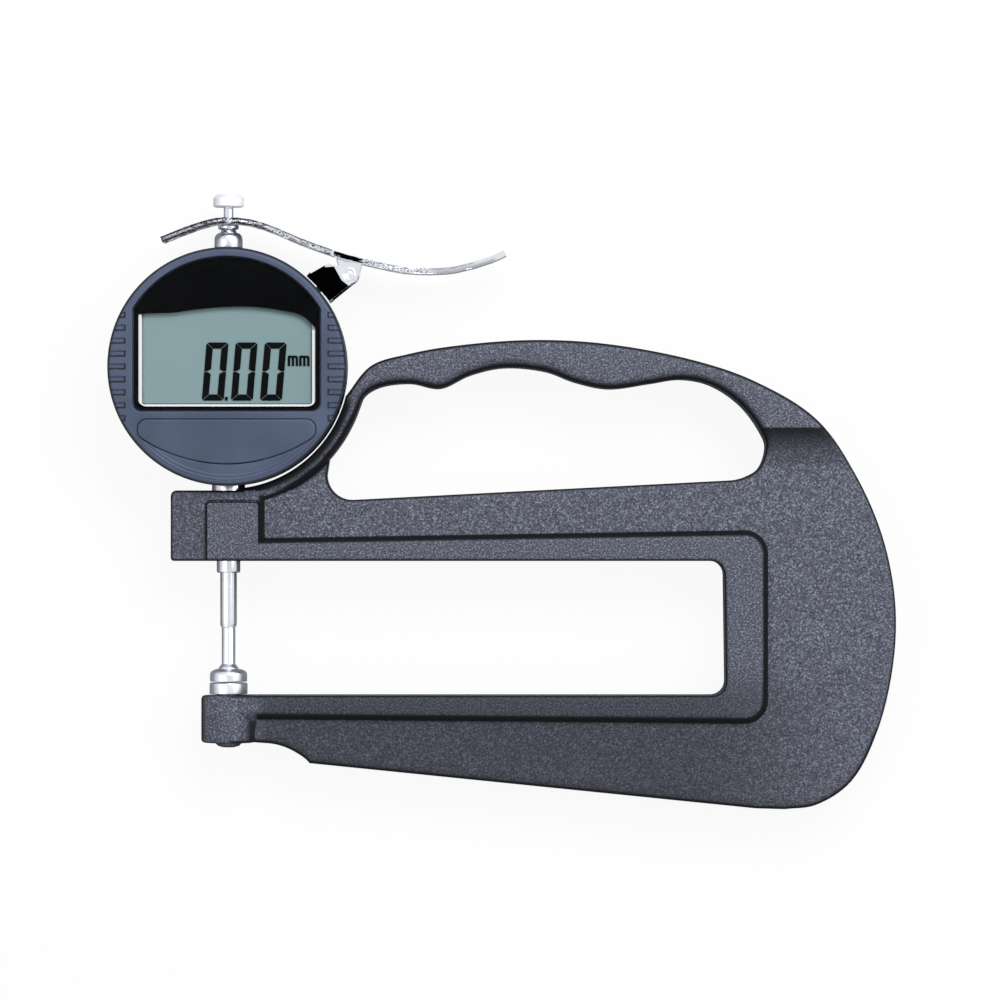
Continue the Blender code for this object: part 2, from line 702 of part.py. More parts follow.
def view_outline():
    # Opening of the mask: straight at the sides and the bottom, a shallow arch on top.
    rise = VIEW_CROWN - VIEW_SHOULDER
    radius = (VIEW_HALF ** 2 + rise ** 2) / (2 * rise)
    swing = math.degrees(math.asin(VIEW_HALF / radius))
    line = arc((0.0, VIEW_CROWN - radius), radius, 90.0 - swing, 90.0 + swing, 10)
    line += rounded([line[-1] + (0.0,), (-VIEW_HALF, VIEW_BOTTOM, WINDOW_CORNER),
                     (VIEW_HALF, VIEW_BOTTOM, WINDOW_CORNER), line[0] + (0.0,)], 4)[1:-1]
    return [(x, CASE_Y + y) for x, y in line]


def pad_outline(half, grow):
    # D shape: flat on top, short flanks and a bottom that follows a wide arc.
    centre = PAD_BOTTOM + PAD_ARC
    radius = PAD_ARC + grow
    reach = half + grow
    swing = math.degrees(math.asin(reach / radius))
    bottom = arc((0.0, centre), radius, -90.0 - swing, -90.0 + swing, 14)
    top = PAD_TOP + grow
    line = rounded([bottom[-1] + (PAD_CORNER * 0.6,), (reach, top, PAD_CORNER), (-reach, top, PAD_CORNER),
                    bottom[0] + (PAD_CORNER * 0.6,)], 4)
    line += bottom[1:-1]
    return [(x, CASE_Y + y) for x, y in line]


def boss_places():
    angles = [BOSS_ANGLE, 180.0 - BOSS_ANGLE, 180.0 + BOSS_ANGLE, 360.0 - BOSS_ANGLE]
    return [on_case(angle, BOSS_SPREAD) for angle in angles]


def grip_ribs():
    # Grooves across the flanks of the case: one set in the front edge, one in the side wall.
    face = []
    flank = []
    for index in range(RIB_COUNT):
        y = (index - (RIB_COUNT - 1) / 2) * RIB_PITCH
        edge = math.sqrt(CASE_RADIUS ** 2 - y ** 2)
        low, high = CASE_Y + y - RIB_GROOVE / 2, CASE_Y + y + RIB_GROOVE / 2
        for side in (-1, 1):
            near, far = sorted((side * RIB_INNER, side * (edge + 0.002)))
            face.append(((near, low, CASE_FRONT - RIB_DEPTH), (far, high, CASE_FRONT + 0.001)))
            near, far = sorted((side * (edge - RIB_DEPTH - 0.0002), side * (edge + 0.002)))
            flank.append(((near, low + BOND_GAP / 2, CASE_BACK + RIB_LANDING),
                          (far, high - BOND_GAP / 2, CASE_FRONT + 0.0012)))
    return joined_boxes("face grooves", face), joined_boxes("flank grooves", flank)


def joined_boxes(name, corners):
    mesh = bpy.data.meshes.new(name)
    work = bmesh.new()
    for low, high in corners:
        cube = bmesh.ops.create_cube(work, size=1.0)["verts"]
        bmesh.ops.scale(work, vec=Vector(high) - Vector(low), verts=cube)
        bmesh.ops.translate(work, vec=(Vector(low) + Vector(high)) / 2, verts=cube)
    work.to_mesh(mesh)
    work.free()
    return new_object(name, mesh)


def front_housing():
    cup = turned("cup", [
        (0.0, CASE_FRONT), (CASE_RADIUS - CASE_CHAMFER, CASE_FRONT), (CASE_RADIUS, CASE_FRONT - CASE_CHAMFER),
        (CASE_RADIUS, CASE_BACK), (CASE_INNER, CASE_BACK), (CASE_INNER, WALL_BACK), (0.0, WALL_BACK)],
        (0.0, CASE_Y, 0.0), "Z", FINE_STEPS)
    bosses = []
    for index, (x, y) in enumerate(boss_places()):
        bosses.append(rod("screw boss %d" % index, SCREW_BOSS_RADIUS, CASE_BACK + SPIGOT_HEIGHT,
                          BOARD_BACK - SEAT_GAP, (x, y, 0.0), "Z", SMALL_STEPS))
    stem_socket = rod("stem socket", STEM_SOCKET, CASE_Y - CASE_RADIUS + 0.0006,
                      CASE_Y - CASE_RADIUS + STEM_INSIDE + 0.002, steps=24)
    top_socket = rod("top socket", UPPER_BOSS_RADIUS, CASE_Y + CASE_RADIUS - UPPER_BUSH_INSIDE - 0.0015,
                     CASE_Y + CASE_RADIUS - 0.0005, steps=24)
    boolean(cup, "UNION", *bosses, stem_socket, top_socket)
    floor = CASE_FRONT - WINDOW_RECESS - WINDOW_THICKNESS - MASK_THICKNESS - 2 * BOND_GAP
    recess = plate("window recess", [window_outline()], floor, CASE_FRONT + 0.001)
    opening = plate("window opening", [window_outline(WINDOW_LEDGE)], WALL_BACK - 0.001, CASE_FRONT)
    pad_hole = plate("pad opening", [pad_outline(PAD_HALF, SEAT_GAP)], WALL_BACK - 0.001, CASE_FRONT + 0.001)
    case_bottom = CASE_Y - CASE_RADIUS
    stem_hole = rod("stem seat", STEM_RADIUS + SEAT_GAP, case_bottom - 0.002, case_bottom + STEM_INSIDE)
    spindle_hole = rod("spindle way", STEM_BORE, case_bottom, CASE_Y - CASE_INNER / 2, steps=24)
    bush_hole = rod("bush hole", UPPER_BUSH_SHANK + SEAT_GAP, CASE_Y + CASE_INNER / 2, BUSH_SEAT + 0.002)
    cuts = [recess, opening, pad_hole, stem_hole, spindle_hole, bush_hole, *grip_ribs()]
    for index, (x, y) in enumerate(boss_places()):
        cuts.append(rod("cover screw hole %d" % index, COVER_SCREW_SHANK + SEAT_GAP, CASE_BACK,
                        REST_Z + COVER_SCREW_LENGTH + 0.001, (x, y, 0.0), "Z", 12))
    for index, (x, y) in enumerate(boss_places()[2:]):
        cuts.append(rod("board screw hole %d" % index, BOARD_SCREW_SHANK + SEAT_GAP,
                        BOARD_FRONT - BOARD_SCREW_LENGTH - 0.0005, BOARD_BACK, (x, y, 0.0), "Z", 12))
    for index, z in enumerate((-BRACKET_SCREW_SPREAD, BRACKET_SCREW_SPREAD)):
        cuts.append(radial("bracket screw hole %d" % index, BRACKET_SCREW_SHANK + SEAT_GAP,
                           CASE_INNER - 0.001, CASE_RADIUS + 0.001, z))
    boolean(cup, "DIFFERENCE", *cuts)
    keep(cup, "front_housing", "case")


def radial(name, radius, low, high, z):
    # Rod that points from the case's centre toward the lever bracket.
    obj = rod(name, radius, low, high, steps=10)
    obj.location = (0.0, CASE_Y, z)
    obj.rotation_euler = (-math.pi / 2, 0.0, math.radians(BRACKET_ANGLE - 90.0))
    return obj


def well_sizes():
    # Radii of the battery well and heights of its lip, from the battery and its cover.
    skirt = BATTERY_RADIUS + SEAT_GAP
    lip_inner = skirt + DOOR_SKIRT + SEAT_GAP
    groove = lip_inner + LUG_REACH
    lip_back = DOOR_FRONT + LIP_STEP
    lip_front = lip_back + LIP_THICKNESS
    return skirt, lip_inner, groove, lip_back, lip_front


def rear_cover():
    skirt, lip_inner, groove, lip_back, lip_front = well_sizes()
    floor_back = CELL_FRONT + CONTACT_THICKNESS + 2 * BOND_GAP
    spigot = CASE_INNER - SEAT_GAP
    well = groove + WELL_WALL
    floor_front = floor_back + WELL_FLOOR
    seat = DOOR_RADIUS + SEAT_GAP
    groove_front = lip_front + GROOVE_HEIGHT
    wall = BATTERY_RADIUS + WELL_CLEARANCE
    cover = turned("cover", [
        (0.0, floor_front), (well - 0.0010, floor_front), (well, floor_front - 0.0010), (well, COVER_FRONT),
        (spigot - SPIGOT_WIDTH, COVER_FRONT), (spigot - SPIGOT_WIDTH, COVER_FRONT + SPIGOT_HEIGHT),
        (spigot, COVER_FRONT + SPIGOT_HEIGHT), (spigot, COVER_FRONT), (CASE_RADIUS, COVER_FRONT),
        (CASE_RADIUS, REST_Z + LARGE_EDGE), (CASE_RADIUS - LARGE_EDGE, REST_Z), (seat, REST_Z), (seat, lip_back),
        (lip_inner, lip_back), (lip_inner, lip_front), (groove, lip_front), (groove, groove_front),
        (wall, groove_front), (wall, floor_back), (0.0, floor_back)],
        (0.0, CASE_Y, 0.0), "Z", FINE_STEPS)
    cuts = []
    for index in range(LUG_COUNT):
        angle = index * 360.0 / LUG_COUNT - DOOR_TURN
        half = LUG_ANGLE / 2 + NOTCH_MARGIN
        line = arc((0.0, CASE_Y), groove + BOND_GAP, angle - half, angle + half, 4)
        line += reversed(arc((0.0, CASE_Y), lip_inner - 0.0008, angle - half, angle + half, 4))
        cuts.append(plate("lug notch %d" % index, [line], lip_back - 0.0003, lip_front + 0.0003))
    shank = COVER_SCREW_SHANK + SEAT_GAP
    head = COVER_SCREW_HEAD + SEAT_GAP
    head_seat = REST_Z + COVER_SCREW_SUNK + SCREW_HEAD_HEIGHT + BOND_GAP
    for index, (x, y) in enumerate(boss_places()):
        cuts.append(turned("screw recess %d" % index, [
            (0.0, COVER_FRONT + 0.003), (shank, COVER_FRONT + 0.003), (shank, head_seat), (head, head_seat),
            (head, REST_Z - 0.001), (0.0, REST_Z - 0.001)], (x, y, 0.0), "Z", SMALL_STEPS))
    for index, angle in enumerate((CONTACT_ANGLE, -CONTACT_ANGLE)):
        x, y = on_case(angle, CONTACT_REACH)
        half_x = CONTACT_THICKNESS / 2 + SEAT_GAP
        half_y = CONTACT_WIDTH / 2 + SEAT_GAP
        cuts.append(box("contact slot %d" % index, (x - half_x, y - half_y, floor_back - 0.001),
                        (x + half_x, y + half_y, floor_front + 0.001)))
    boolean(cover, "DIFFERENCE", *cuts)
    keep(cover, "rear_cover", "case")


def cover_screws():
    head_back = REST_Z + COVER_SCREW_SUNK
    head_front = head_back + SCREW_HEAD_HEIGHT
    for index, (x, y) in enumerate(boss_places()):
        tip = REST_Z + COVER_SCREW_LENGTH
        screw = turned("screw", [
            (0.0, tip), (COVER_SCREW_SHANK, tip), (COVER_SCREW_SHANK, head_front), (COVER_SCREW_HEAD, head_front),
            (COVER_SCREW_HEAD, head_back), (0.0, head_back)], (x, y, 0.0), "Z", SMALL_STEPS)
        arm, half = COVER_SCREW_SHANK * 1.2, COVER_SCREW_SHANK * 0.2
        deep = head_back + SCREW_HEAD_HEIGHT * 0.6
        across = box("slot across", (x - arm, y - half, head_back - 0.001), (x + arm, y + half, deep))
        upright = box("slot upright", (x - half, y - arm, head_back - 0.001), (x + half, y + arm, deep))
        boolean(screw, "DIFFERENCE", across, upright)
        keep(screw, "rear_cover_screw_%d" % (index + 1), "dark steel")


def battery_parts():
    skirt, lip_inner, groove, lip_back, lip_front = well_sizes()
    lug_back = lip_front + BOND_GAP
    door_back = DOOR_FRONT - DOOR_THICKNESS
    battery_back = CELL_FRONT - BATTERY_THICKNESS
    keep(turned("cell", [(0.0, CELL_FRONT), (BATTERY_RADIUS * 0.88, CELL_FRONT),
                         (BATTERY_RADIUS * 0.90, CELL_FRONT - SMALL_EDGE),
                         (BATTERY_RADIUS, CELL_FRONT - 2 * SMALL_EDGE), (BATTERY_RADIUS, battery_back),
                         (0.0, battery_back)], (0.0, CASE_Y, 0.0), "Z"), "battery", "steel")
    door = turned("door", [
        (lip_inner - RUN_GAP, lug_back + LUG_HEIGHT), (lip_inner - RUN_GAP, DOOR_FRONT),
        (DOOR_RADIUS, DOOR_FRONT), (DOOR_RADIUS, door_back), (0.0, door_back), (0.0, DOOR_FRONT),
        (skirt, DOOR_FRONT), (skirt, lug_back + LUG_HEIGHT)], (0.0, CASE_Y, 0.0), "Z", FINE_STEPS - 8)
    lugs = []
    for index in range(LUG_COUNT):
        turn = index * 360.0 / LUG_COUNT
        start, end = turn - LUG_ANGLE / 2, turn + LUG_ANGLE / 2
        line = arc((0.0, CASE_Y), groove - RUN_GAP, start, end, 4)
        line += reversed(arc((0.0, CASE_Y), skirt + DOOR_SKIRT / 2, start, end, 4))
        lugs.append(plate("lug %d" % index, [line], lug_back, lug_back + LUG_HEIGHT - BOND_GAP))
    coin = box("coin slot", (-COIN_SLOT_LENGTH / 2, CASE_Y - COIN_SLOT_WIDTH / 2, door_back - 0.001),
               (COIN_SLOT_LENGTH / 2, CASE_Y + COIN_SLOT_WIDTH / 2, door_back + COIN_SLOT_DEPTH))
    boolean(door, "UNION", *lugs)
    boolean(door, "DIFFERENCE", coin)
    keep(door, "battery_cover", "case")
    strip_back = CELL_FRONT + BOND_GAP
    strip_front = strip_back + CONTACT_THICKNESS
    tip = BOARD_BACK - SEAT_GAP
    for name, angle, span in (("battery_contact_positive", CONTACT_ANGLE, CONTACT_SPAN_SHORT),
                              ("battery_contact_negative", -CONTACT_ANGLE, CONTACT_SPAN_LONG)):
        x, y = on_case(angle, CONTACT_REACH)
        left, right = x - CONTACT_THICKNESS / 2, x + CONTACT_THICKNESS / 2
        line = [(x - span, strip_back), (right, strip_back), (right, tip), (left, tip), (left, strip_front),
                (x - span, strip_front)]
        strip = plate(name, [line], -CONTACT_WIDTH / 2, CONTACT_WIDTH / 2)
        strip.rotation_euler = (math.pi / 2, 0.0, 0.0)
        strip.location = (0.0, y, 0.0)
        keep(strip, name, "brass")


# Display, board and keys

def display_parts():
    recess = CASE_FRONT - WINDOW_RECESS
    glass_back = recess - WINDOW_THICKNESS
    mask_front = glass_back - BOND_GAP
    keep(plate("lens", [window_outline(RUN_GAP)], glass_back, recess), "window_lens", "clear")
    keep(plate("mask", [window_outline(SEAT_GAP), view_outline()], mask_front - MASK_THICKNESS, mask_front),
         "window_mask", "black")
    holder_front = WALL_BACK - SEAT_GAP
    display_front = holder_front - BOND_GAP
    display_back = display_front - DISPLAY_THICKNESS
    low, high, half = CASE_Y + DISPLAY_BOTTOM, CASE_Y + DISPLAY_TOP, DISPLAY_HALF
    side, sill, crown = half + HOLDER_WALL, low - HOLDER_WALL, high + HOLDER_WALL / 2
    outer = rounded([(-side, sill, 0.001), (side, sill, 0.001), (side, crown, HOLDER_CORNER),
                     (-side, crown, HOLDER_CORNER)])
    inner = [(-half, low), (half, low), (half, high), (-half, high)]
    keep(plate("holder", [outer, inner], BOARD_FRONT + BOND_GAP, holder_front), "display_holder", "white")
    gap = RUN_GAP
    keep(box("display", (-half + gap, low + gap, display_back), (half - gap, high - gap, display_front)),
         "display_glass", "display")
    for name, y in (("upper", high - 0.0020), ("lower", low + 0.0020)):
        strip = box(name, (-CONNECTOR_HALF, y - CONNECTOR_WIDTH / 2, BOARD_FRONT + BOND_GAP),
                    (CONNECTOR_HALF, y + CONNECTOR_WIDTH / 2, display_back - BOND_GAP))
        keep(strip, "display_connector_" + name, "rubber")


def circuit_board():
    swing = math.degrees(math.asin(BOARD_CHORD / BOARD_RADIUS))
    line = arc((0.0, CASE_Y), BOARD_RADIUS, -swing, swing, 16)
    line += arc((0.0, CASE_Y), BOARD_RADIUS, 180.0 - swing, 180.0 + swing, 16)
    board = plate("board", [line], BOARD_BACK, BOARD_FRONT)
    cuts = []
    seat = BOARD_FRONT + BOND_GAP
    top = seat + SCREW_HEAD_HEIGHT
    tip = BOARD_FRONT - BOARD_SCREW_LENGTH
    for index, (x, y) in enumerate(boss_places()[2:]):
        cuts.append(rod("board hole %d" % index, BOARD_SCREW_SHANK + SEAT_GAP, BOARD_BACK - 0.001,
                        BOARD_FRONT + 0.001, (x, y, 0.0), "Z", 12))
        screw = turned("board screw", [
            (0.0, top), (BOARD_SCREW_HEAD, top), (BOARD_SCREW_HEAD, seat), (BOARD_SCREW_SHANK, seat),
            (BOARD_SCREW_SHANK, tip), (0.0, tip)], (x, y, 0.0), "Z", 12)
        keep(screw, "board_screw_%d" % (index + 1), "dark steel")
    keep(boolean(board, "DIFFERENCE", *cuts), "circuit_board", "board")


def key_parts():
    flange_front = WALL_BACK - SEAT_GAP
    flange_back = flange_front - PAD_FLANGE_THICKNESS
    switch_back = BOARD_FRONT + BOND_GAP
    switch_front = switch_back + SWITCH_HEIGHT
    plunger_back = switch_front + PAD_TRAVEL + BOND_GAP
    face = plate("pad face", [pad_outline(PAD_HALF, 0.0)], flange_front - 0.0002, CASE_FRONT + PAD_PROUD,
                 SMALL_EDGE)
    flange = plate("pad flange", [pad_outline(PAD_FLANGE_HALF, PAD_FLANGE_LIP)], flange_back, flange_front)
    boolean(face, "UNION", flange)
    for side, name in ((-1, "left"), (1, "right")):
        at = (side * PLUNGER_SPREAD, CASE_Y + PAD_TOP - PLUNGER_DROP, 0.0)
        plunger = rod("plunger " + name, PLUNGER_RADIUS, plunger_back, flange_back + 0.0003, at, "Z", SMALL_STEPS)
        boolean(face, "UNION", plunger)
        dome = turned("dome", [
            (0.0, switch_front), (SWITCH_RADIUS * 0.5, switch_front), (SWITCH_RADIUS, switch_back + 0.0002),
            (SWITCH_RADIUS, switch_back), (0.0, switch_back)], at, "Z", SMALL_STEPS)
        keep(dome, "key_switch_" + name, "steel")
    keep(face, "key_pad", "pad")


# Stem, bushes and spindle

def stem_and_bushes():
    case_bottom = CASE_Y - CASE_RADIUS
    stem_foot = THROAT_TOP + 0.0006
    bush_foot = THROAT_TOP - LOWER_BUSH_TIP
    stem_top = case_bottom + STEM_INSIDE - SEAT_GAP
    keep(tube("stem", STEM_RADIUS, STEM_BORE, stem_foot, stem_top), "stem", "chrome")
    bore = SPINDLE_RADIUS + RUN_GAP
    outer = STEM_BORE - RUN_GAP
    bush_top = bush_foot + LOWER_BUSH_LENGTH
    keep(turned("bush", [(outer, bush_top), (outer, THROAT_TOP), (outer - SMALL_EDGE, bush_foot),
                         (bore, bush_foot), (bore, bush_top)]), "lower_bush", "chrome")
    keep(turned("sleeve", [
        (UPPER_BUSH_RADIUS - LARGE_EDGE, BUSH_TOP), (UPPER_BUSH_RADIUS, BUSH_TOP - LARGE_EDGE),
        (UPPER_BUSH_RADIUS, BUSH_SEAT),
        (UPPER_BUSH_SHANK, BUSH_SEAT), (UPPER_BUSH_SHANK, BUSH_FOOT), (bore, BUSH_FOOT), (bore, BUSH_TOP)]),
         "upper_bush", "chrome")


def spindle_parts():
    shoulder = COLLAR_BOTTOM - BOND_GAP
    neck_top = CAP_BOTTOM + CAP_HEIGHT * 0.6
    keep(turned("rod", [(0.0, neck_top), (SPINDLE_NECK, neck_top), (SPINDLE_NECK, shoulder),
                        (SPINDLE_RADIUS, shoulder), (SPINDLE_RADIUS, SPINDLE_FOOT), (0.0, SPINDLE_FOOT)]),
         "spindle", "chrome")
    hole = SPINDLE_NECK + RUN_GAP
    keep(tube("collar", COLLAR_RADIUS, hole, COLLAR_BOTTOM, COLLAR_TOP), "lift_collar", "chrome")
    cap_top = CAP_BOTTOM + CAP_HEIGHT
    keep(turned("cap", [(0.0, cap_top), (CAP_RADIUS - LARGE_EDGE, cap_top), (CAP_RADIUS, cap_top - LARGE_EDGE),
                        (CAP_RADIUS, CAP_BOTTOM + SMALL_EDGE), (CAP_RADIUS - SMALL_EDGE, CAP_BOTTOM),
                        (hole, CAP_BOTTOM), (hole, neck_top + RUN_GAP), (0.0, neck_top + RUN_GAP)]),
         "spindle_cap", "chrome")
    face = CONTACT_GAP
    disc_top = face + CONTACT_HEIGHT
    top = SPINDLE_FOOT - BOND_GAP
    keep(turned("point", [
        (0.0, top), (CONTACT_SHANK, top), (CONTACT_SHANK, disc_top + 0.0013), (CONTACT_SHANK + 0.0010, disc_top),
        (CONTACT_RADIUS - LARGE_EDGE, disc_top), (CONTACT_RADIUS, disc_top - LARGE_EDGE),
        (CONTACT_RADIUS, face + SMALL_EDGE), (CONTACT_RADIUS - SMALL_EDGE, face), (0.0, face)]),
         "contact_point", "chrome")


def carrier_parts():
    low = CASE_Y - CARRIER_DROP
    high = low + CARRIER_HEIGHT
    middle = low + CARRIER_HEIGHT / 2
    block = box("carrier", (-CARRIER_HALF, low, CARRIER_BACK), (CARRIER_HALF, high, CARRIER_FRONT), 0.0004, 1)
    bore = rod("carrier bore", SPINDLE_RADIUS + RUN_GAP, low - 0.001, high + 0.001, steps=24)
    pin_hole = rod("pin hole", GUIDE_PIN_RADIUS + RUN_GAP, -CARRIER_HALF - 0.001, -CARRIER_HALF + 0.0020,
                   (0.0, middle, 0.0), "X", 12)
    screw_hole = rod("screw hole", CARRIER_SCREW_RADIUS + RUN_GAP, SPINDLE_RADIUS, CARRIER_HALF + 0.001,
                     (0.0, middle, 0.0), "X", 12)
    boolean(block, "DIFFERENCE", bore, pin_hole, screw_hole)
    keep(block, "scale_carrier", "black")
    screw_tip = SPINDLE_RADIUS + BOND_GAP
    keep(rod("grub", CARRIER_SCREW_RADIUS, screw_tip, CARRIER_HALF - 0.0002, (0.0, middle, 0.0), "X", 12),
         "carrier_screw", "dark steel")
    pin_end = -CARRIER_HALF + 0.0018
    keep(rod("pin", GUIDE_PIN_RADIUS, pin_end - GUIDE_PIN_LENGTH, pin_end, (0.0, middle, 0.0), "X", 12),
         "guide_pin", "steel")
    plate_low = low - 0.0050
    back = CARRIER_FRONT + BOND_GAP
    keep(box("scale", (-CARRIER_HALF, plate_low, back),
             (CARRIER_HALF, plate_low + SCALE_LENGTH, back + SCALE_THICKNESS)), "scale_plate", "board")
    far = GUIDE_NEAR + GUIDE_WIDTH
    reach = math.sqrt(CASE_INNER ** 2 - far ** 2) - SEAT_GAP
    rail = box("rail", (-far, CASE_Y - reach, -GUIDE_HALF), (-GUIDE_NEAR, CASE_Y + reach, GUIDE_HALF))
    slot = box("rail slot", (-far - 0.001, middle - 0.0025, -GUIDE_SLOT_HALF),
               (-GUIDE_NEAR + 0.001, middle + SPINDLE_TRAVEL + 0.0025, GUIDE_SLOT_HALF))
    keep(boolean(rail, "DIFFERENCE", slot), "guide_rail", "steel")


def return_spring():
    low = CASE_Y - CARRIER_DROP + CARRIER_HEIGHT + SEAT_GAP + SPRING_WIRE
    high = BUSH_FOOT - SEAT_GAP - SPRING_WIRE
    curve = bpy.data.curves.new("spring", "CURVE")
    curve.dimensions = "3D"
    curve.bevel_depth = SPRING_WIRE
    curve.bevel_resolution = 1
    curve.use_fill_caps = True
    spline = curve.splines.new("POLY")
    count = SPRING_TURNS * 8
    spline.points.add(count)
    for index, point in enumerate(spline.points):
        share = index / count
        turn = share * SPRING_TURNS * math.tau
        rise = low + (high - low) * share
        point.co = (SPRING_RADIUS * math.cos(turn), rise, SPRING_RADIUS * math.sin(turn), 1.0)
    keep(new_object("spring", curve), "return_spring", "steel")


# Lifting lever

def lever_line():
    # Centre line of the bent strip: the fork over the collar, the slope to the pivot, then the thumb end.
    fork = [(-1.0, 0.294), (-0.656, 0.156), (-0.281, 0.031), (-0.0375, 0.0)]
    slope = [(0.184, 0.962), (0.391, 0.811), (0.588, 0.621), (0.861, 0.402)]
    thumb = [(0.083, 0.088), (0.176, 0.067), (0.349, 0.032), (0.528, 0.024), (0.677, 0.035), (0.907, 0.099),
             (1.0, 0.141)]
    top = COLLAR_TOP + LEVER_REST_GAP + LEVER_THICKNESS / 2
    spots = [(along * LEVER_TAIL, top - drop * LEVER_TAIL) for along, drop in fork]
    spots += [(along * PIVOT_X, PIVOT_Y + rise * (top - PIVOT_Y)) for along, rise in slope]
    spots += [(PIVOT_X + along * LEVER_REACH, PIVOT_Y + rise * LEVER_REACH) for along, rise in thumb]
    return smooth(spots, 2)


def thick_line(line, thickness):
    left = []
    right = []
    for index, (x, y) in enumerate(line):
        before = Vector(line[max(index - 1, 0)])
        after = Vector(line[min(index + 1, len(line) - 1)])
        along = (after - before).normalized()
        side = Vector((-along.y, along.x)) * thickness / 2
        left.append((x + side.x, y + side.y))
        right.append((x - side.x, y - side.y))
    return left + right[::-1]


def lifting_lever():
    strip = plate("strip", [thick_line(lever_line(), LEVER_THICKNESS)], -LEVER_HALF, LEVER_HALF)
    for side in (-1, 1):
        outer = side * (LEVER_HALF - BOND_GAP)
        inner = side * (LEVER_HALF - EAR_THICKNESS)
        low, high = sorted((outer, inner))
        line = arc((PIVOT_X, PIVOT_Y), EAR_RADIUS, 180.0, 360.0, 8)
        line += [(PIVOT_X + EAR_RADIUS * 1.36, PIVOT_Y + EAR_RADIUS * 1.45),
                 (PIVOT_X - EAR_RADIUS * 1.64, PIVOT_Y + EAR_RADIUS * 2.18)]
        boolean(strip, "UNION", plate("ear %d" % side, [line], low, high))
    fork = box("fork slot", (-LEVER_TAIL * 1.2, PIVOT_Y, -FORK_HALF), (FORK_END, CAP_BOTTOM, FORK_HALF))
    hole = rod("ear hole", PIN_RADIUS + RUN_GAP, -LEVER_HALF - 0.001, LEVER_HALF + 0.001,
               (PIVOT_X, PIVOT_Y, 0.0), "Z", SMALL_STEPS)
    boolean(strip, "DIFFERENCE", fork, hole)
    pivot_origin(strip)
    keep(strip, "lifting_lever", "chrome")


def pivot_origin(obj):
    # The lever turns about its own origin, so the mesh is moved back to the pivot.
    for vertex in obj.data.vertices:
        vertex.co.x -= PIVOT_X
        vertex.co.y -= PIVOT_Y
    obj.location.x += PIVOT_X
    obj.location.y += PIVOT_Y


def cheek_outline():
    inner = CASE_RADIUS + SEAT_GAP
    line = arc((0.0, CASE_Y), inner, BRACKET_ANGLE - BRACKET_SPREAD, BRACKET_ANGLE + BRACKET_SPREAD, 6)
    line.append(on_case(BRACKET_ANGLE + BRACKET_SPREAD * 0.60, inner + 0.0058))
    line += reversed(arc((PIVOT_X, PIVOT_Y), CHEEK_NOSE, -60.0, 120.0, 8))
    return line


def lever_bracket():
    inner = CASE_RADIUS + SEAT_GAP
    cheeks = [plate("cheek front", [cheek_outline()], CHEEK_INNER, CHEEK_OUTER),
              plate("cheek back", [cheek_outline()], -CHEEK_OUTER, -CHEEK_INNER)]
    start, end = BRACKET_ANGLE - BRACKET_SPREAD, BRACKET_ANGLE + BRACKET_SPREAD
    base_line = arc((0.0, CASE_Y), inner + BOND_GAP, start, end, 6)
    base_line += reversed(arc((0.0, CASE_Y), inner + BRACKET_BASE, start, end, 6))
    base = plate("bracket base", [base_line], -CHEEK_INNER - SEAT_GAP, CHEEK_INNER + SEAT_GAP)
    boolean(base, "UNION", *cheeks)
    pin_hole = rod("pin way", PIN_RADIUS + RUN_GAP, -CHEEK_OUTER - 0.001, CHEEK_OUTER + 0.001,
                   (PIVOT_X, PIVOT_Y, 0.0), "Z", SMALL_STEPS)
    screw_holes = [radial("screw way %d" % index, BRACKET_SCREW_SHANK + SEAT_GAP, CASE_RADIUS - 0.001,
                          CASE_RADIUS + 0.004, z)
                   for index, z in enumerate((-BRACKET_SCREW_SPREAD, BRACKET_SCREW_SPREAD))]
    boolean(base, "DIFFERENCE", pin_hole, *screw_holes)
    keep(base, "lever_bracket", "chrome")


def bracket_screws():
    seat = CASE_RADIUS + SEAT_GAP + BRACKET_BASE + BOND_GAP * 2
    tip = CASE_INNER - 0.0002
    for index, z in enumerate((-BRACKET_SCREW_SPREAD, BRACKET_SCREW_SPREAD)):
        screw = turned("bracket screw", [
            (0.0, seat + SCREW_HEAD_HEIGHT), (BRACKET_SCREW_HEAD, seat + SCREW_HEAD_HEIGHT),
            (BRACKET_SCREW_HEAD, seat), (BRACKET_SCREW_SHANK, seat), (BRACKET_SCREW_SHANK, tip), (0.0, tip)],
            (0.0, CASE_Y, z), "Y", 12)
        screw.rotation_euler = (-math.pi / 2, 0.0, math.radians(BRACKET_ANGLE - 90.0))
        keep(screw, "bracket_screw_%d" % (index + 1), "dark steel")


def pivot_parts():
    head_back = CHEEK_OUTER + BOND_GAP
    clip_front = -CHEEK_OUTER - BOND_GAP
    tail = clip_front - CLIP_THICKNESS - 0.0006
    keep(turned("pin", [(0.0, head_back + PIN_HEAD_HEIGHT), (PIN_HEAD_RADIUS, head_back + PIN_HEAD_HEIGHT),
                        (PIN_HEAD_RADIUS, head_back), (PIN_RADIUS, head_back), (PIN_RADIUS, tail), (0.0, tail)],
                (PIVOT_X, PIVOT_Y, 0.0), "Z", SMALL_STEPS), "pivot_pin", "chrome")
    clip = tube("clip", CLIP_RADIUS, PIN_RADIUS + BOND_GAP, clip_front - CLIP_THICKNESS, clip_front,
                (PIVOT_X, PIVOT_Y, 0.0), "Z", SMALL_STEPS)
    mouth = box("clip mouth", (PIVOT_X, PIVOT_Y - PIN_RADIUS * 0.8, clip_front - CLIP_THICKNESS - 0.001),
                (PIVOT_X + CLIP_RADIUS * 2, PIVOT_Y + PIN_RADIUS * 0.8, clip_front + 0.001))
    keep(boolean(clip, "DIFFERENCE", mouth), "pivot_clip", "dark steel")


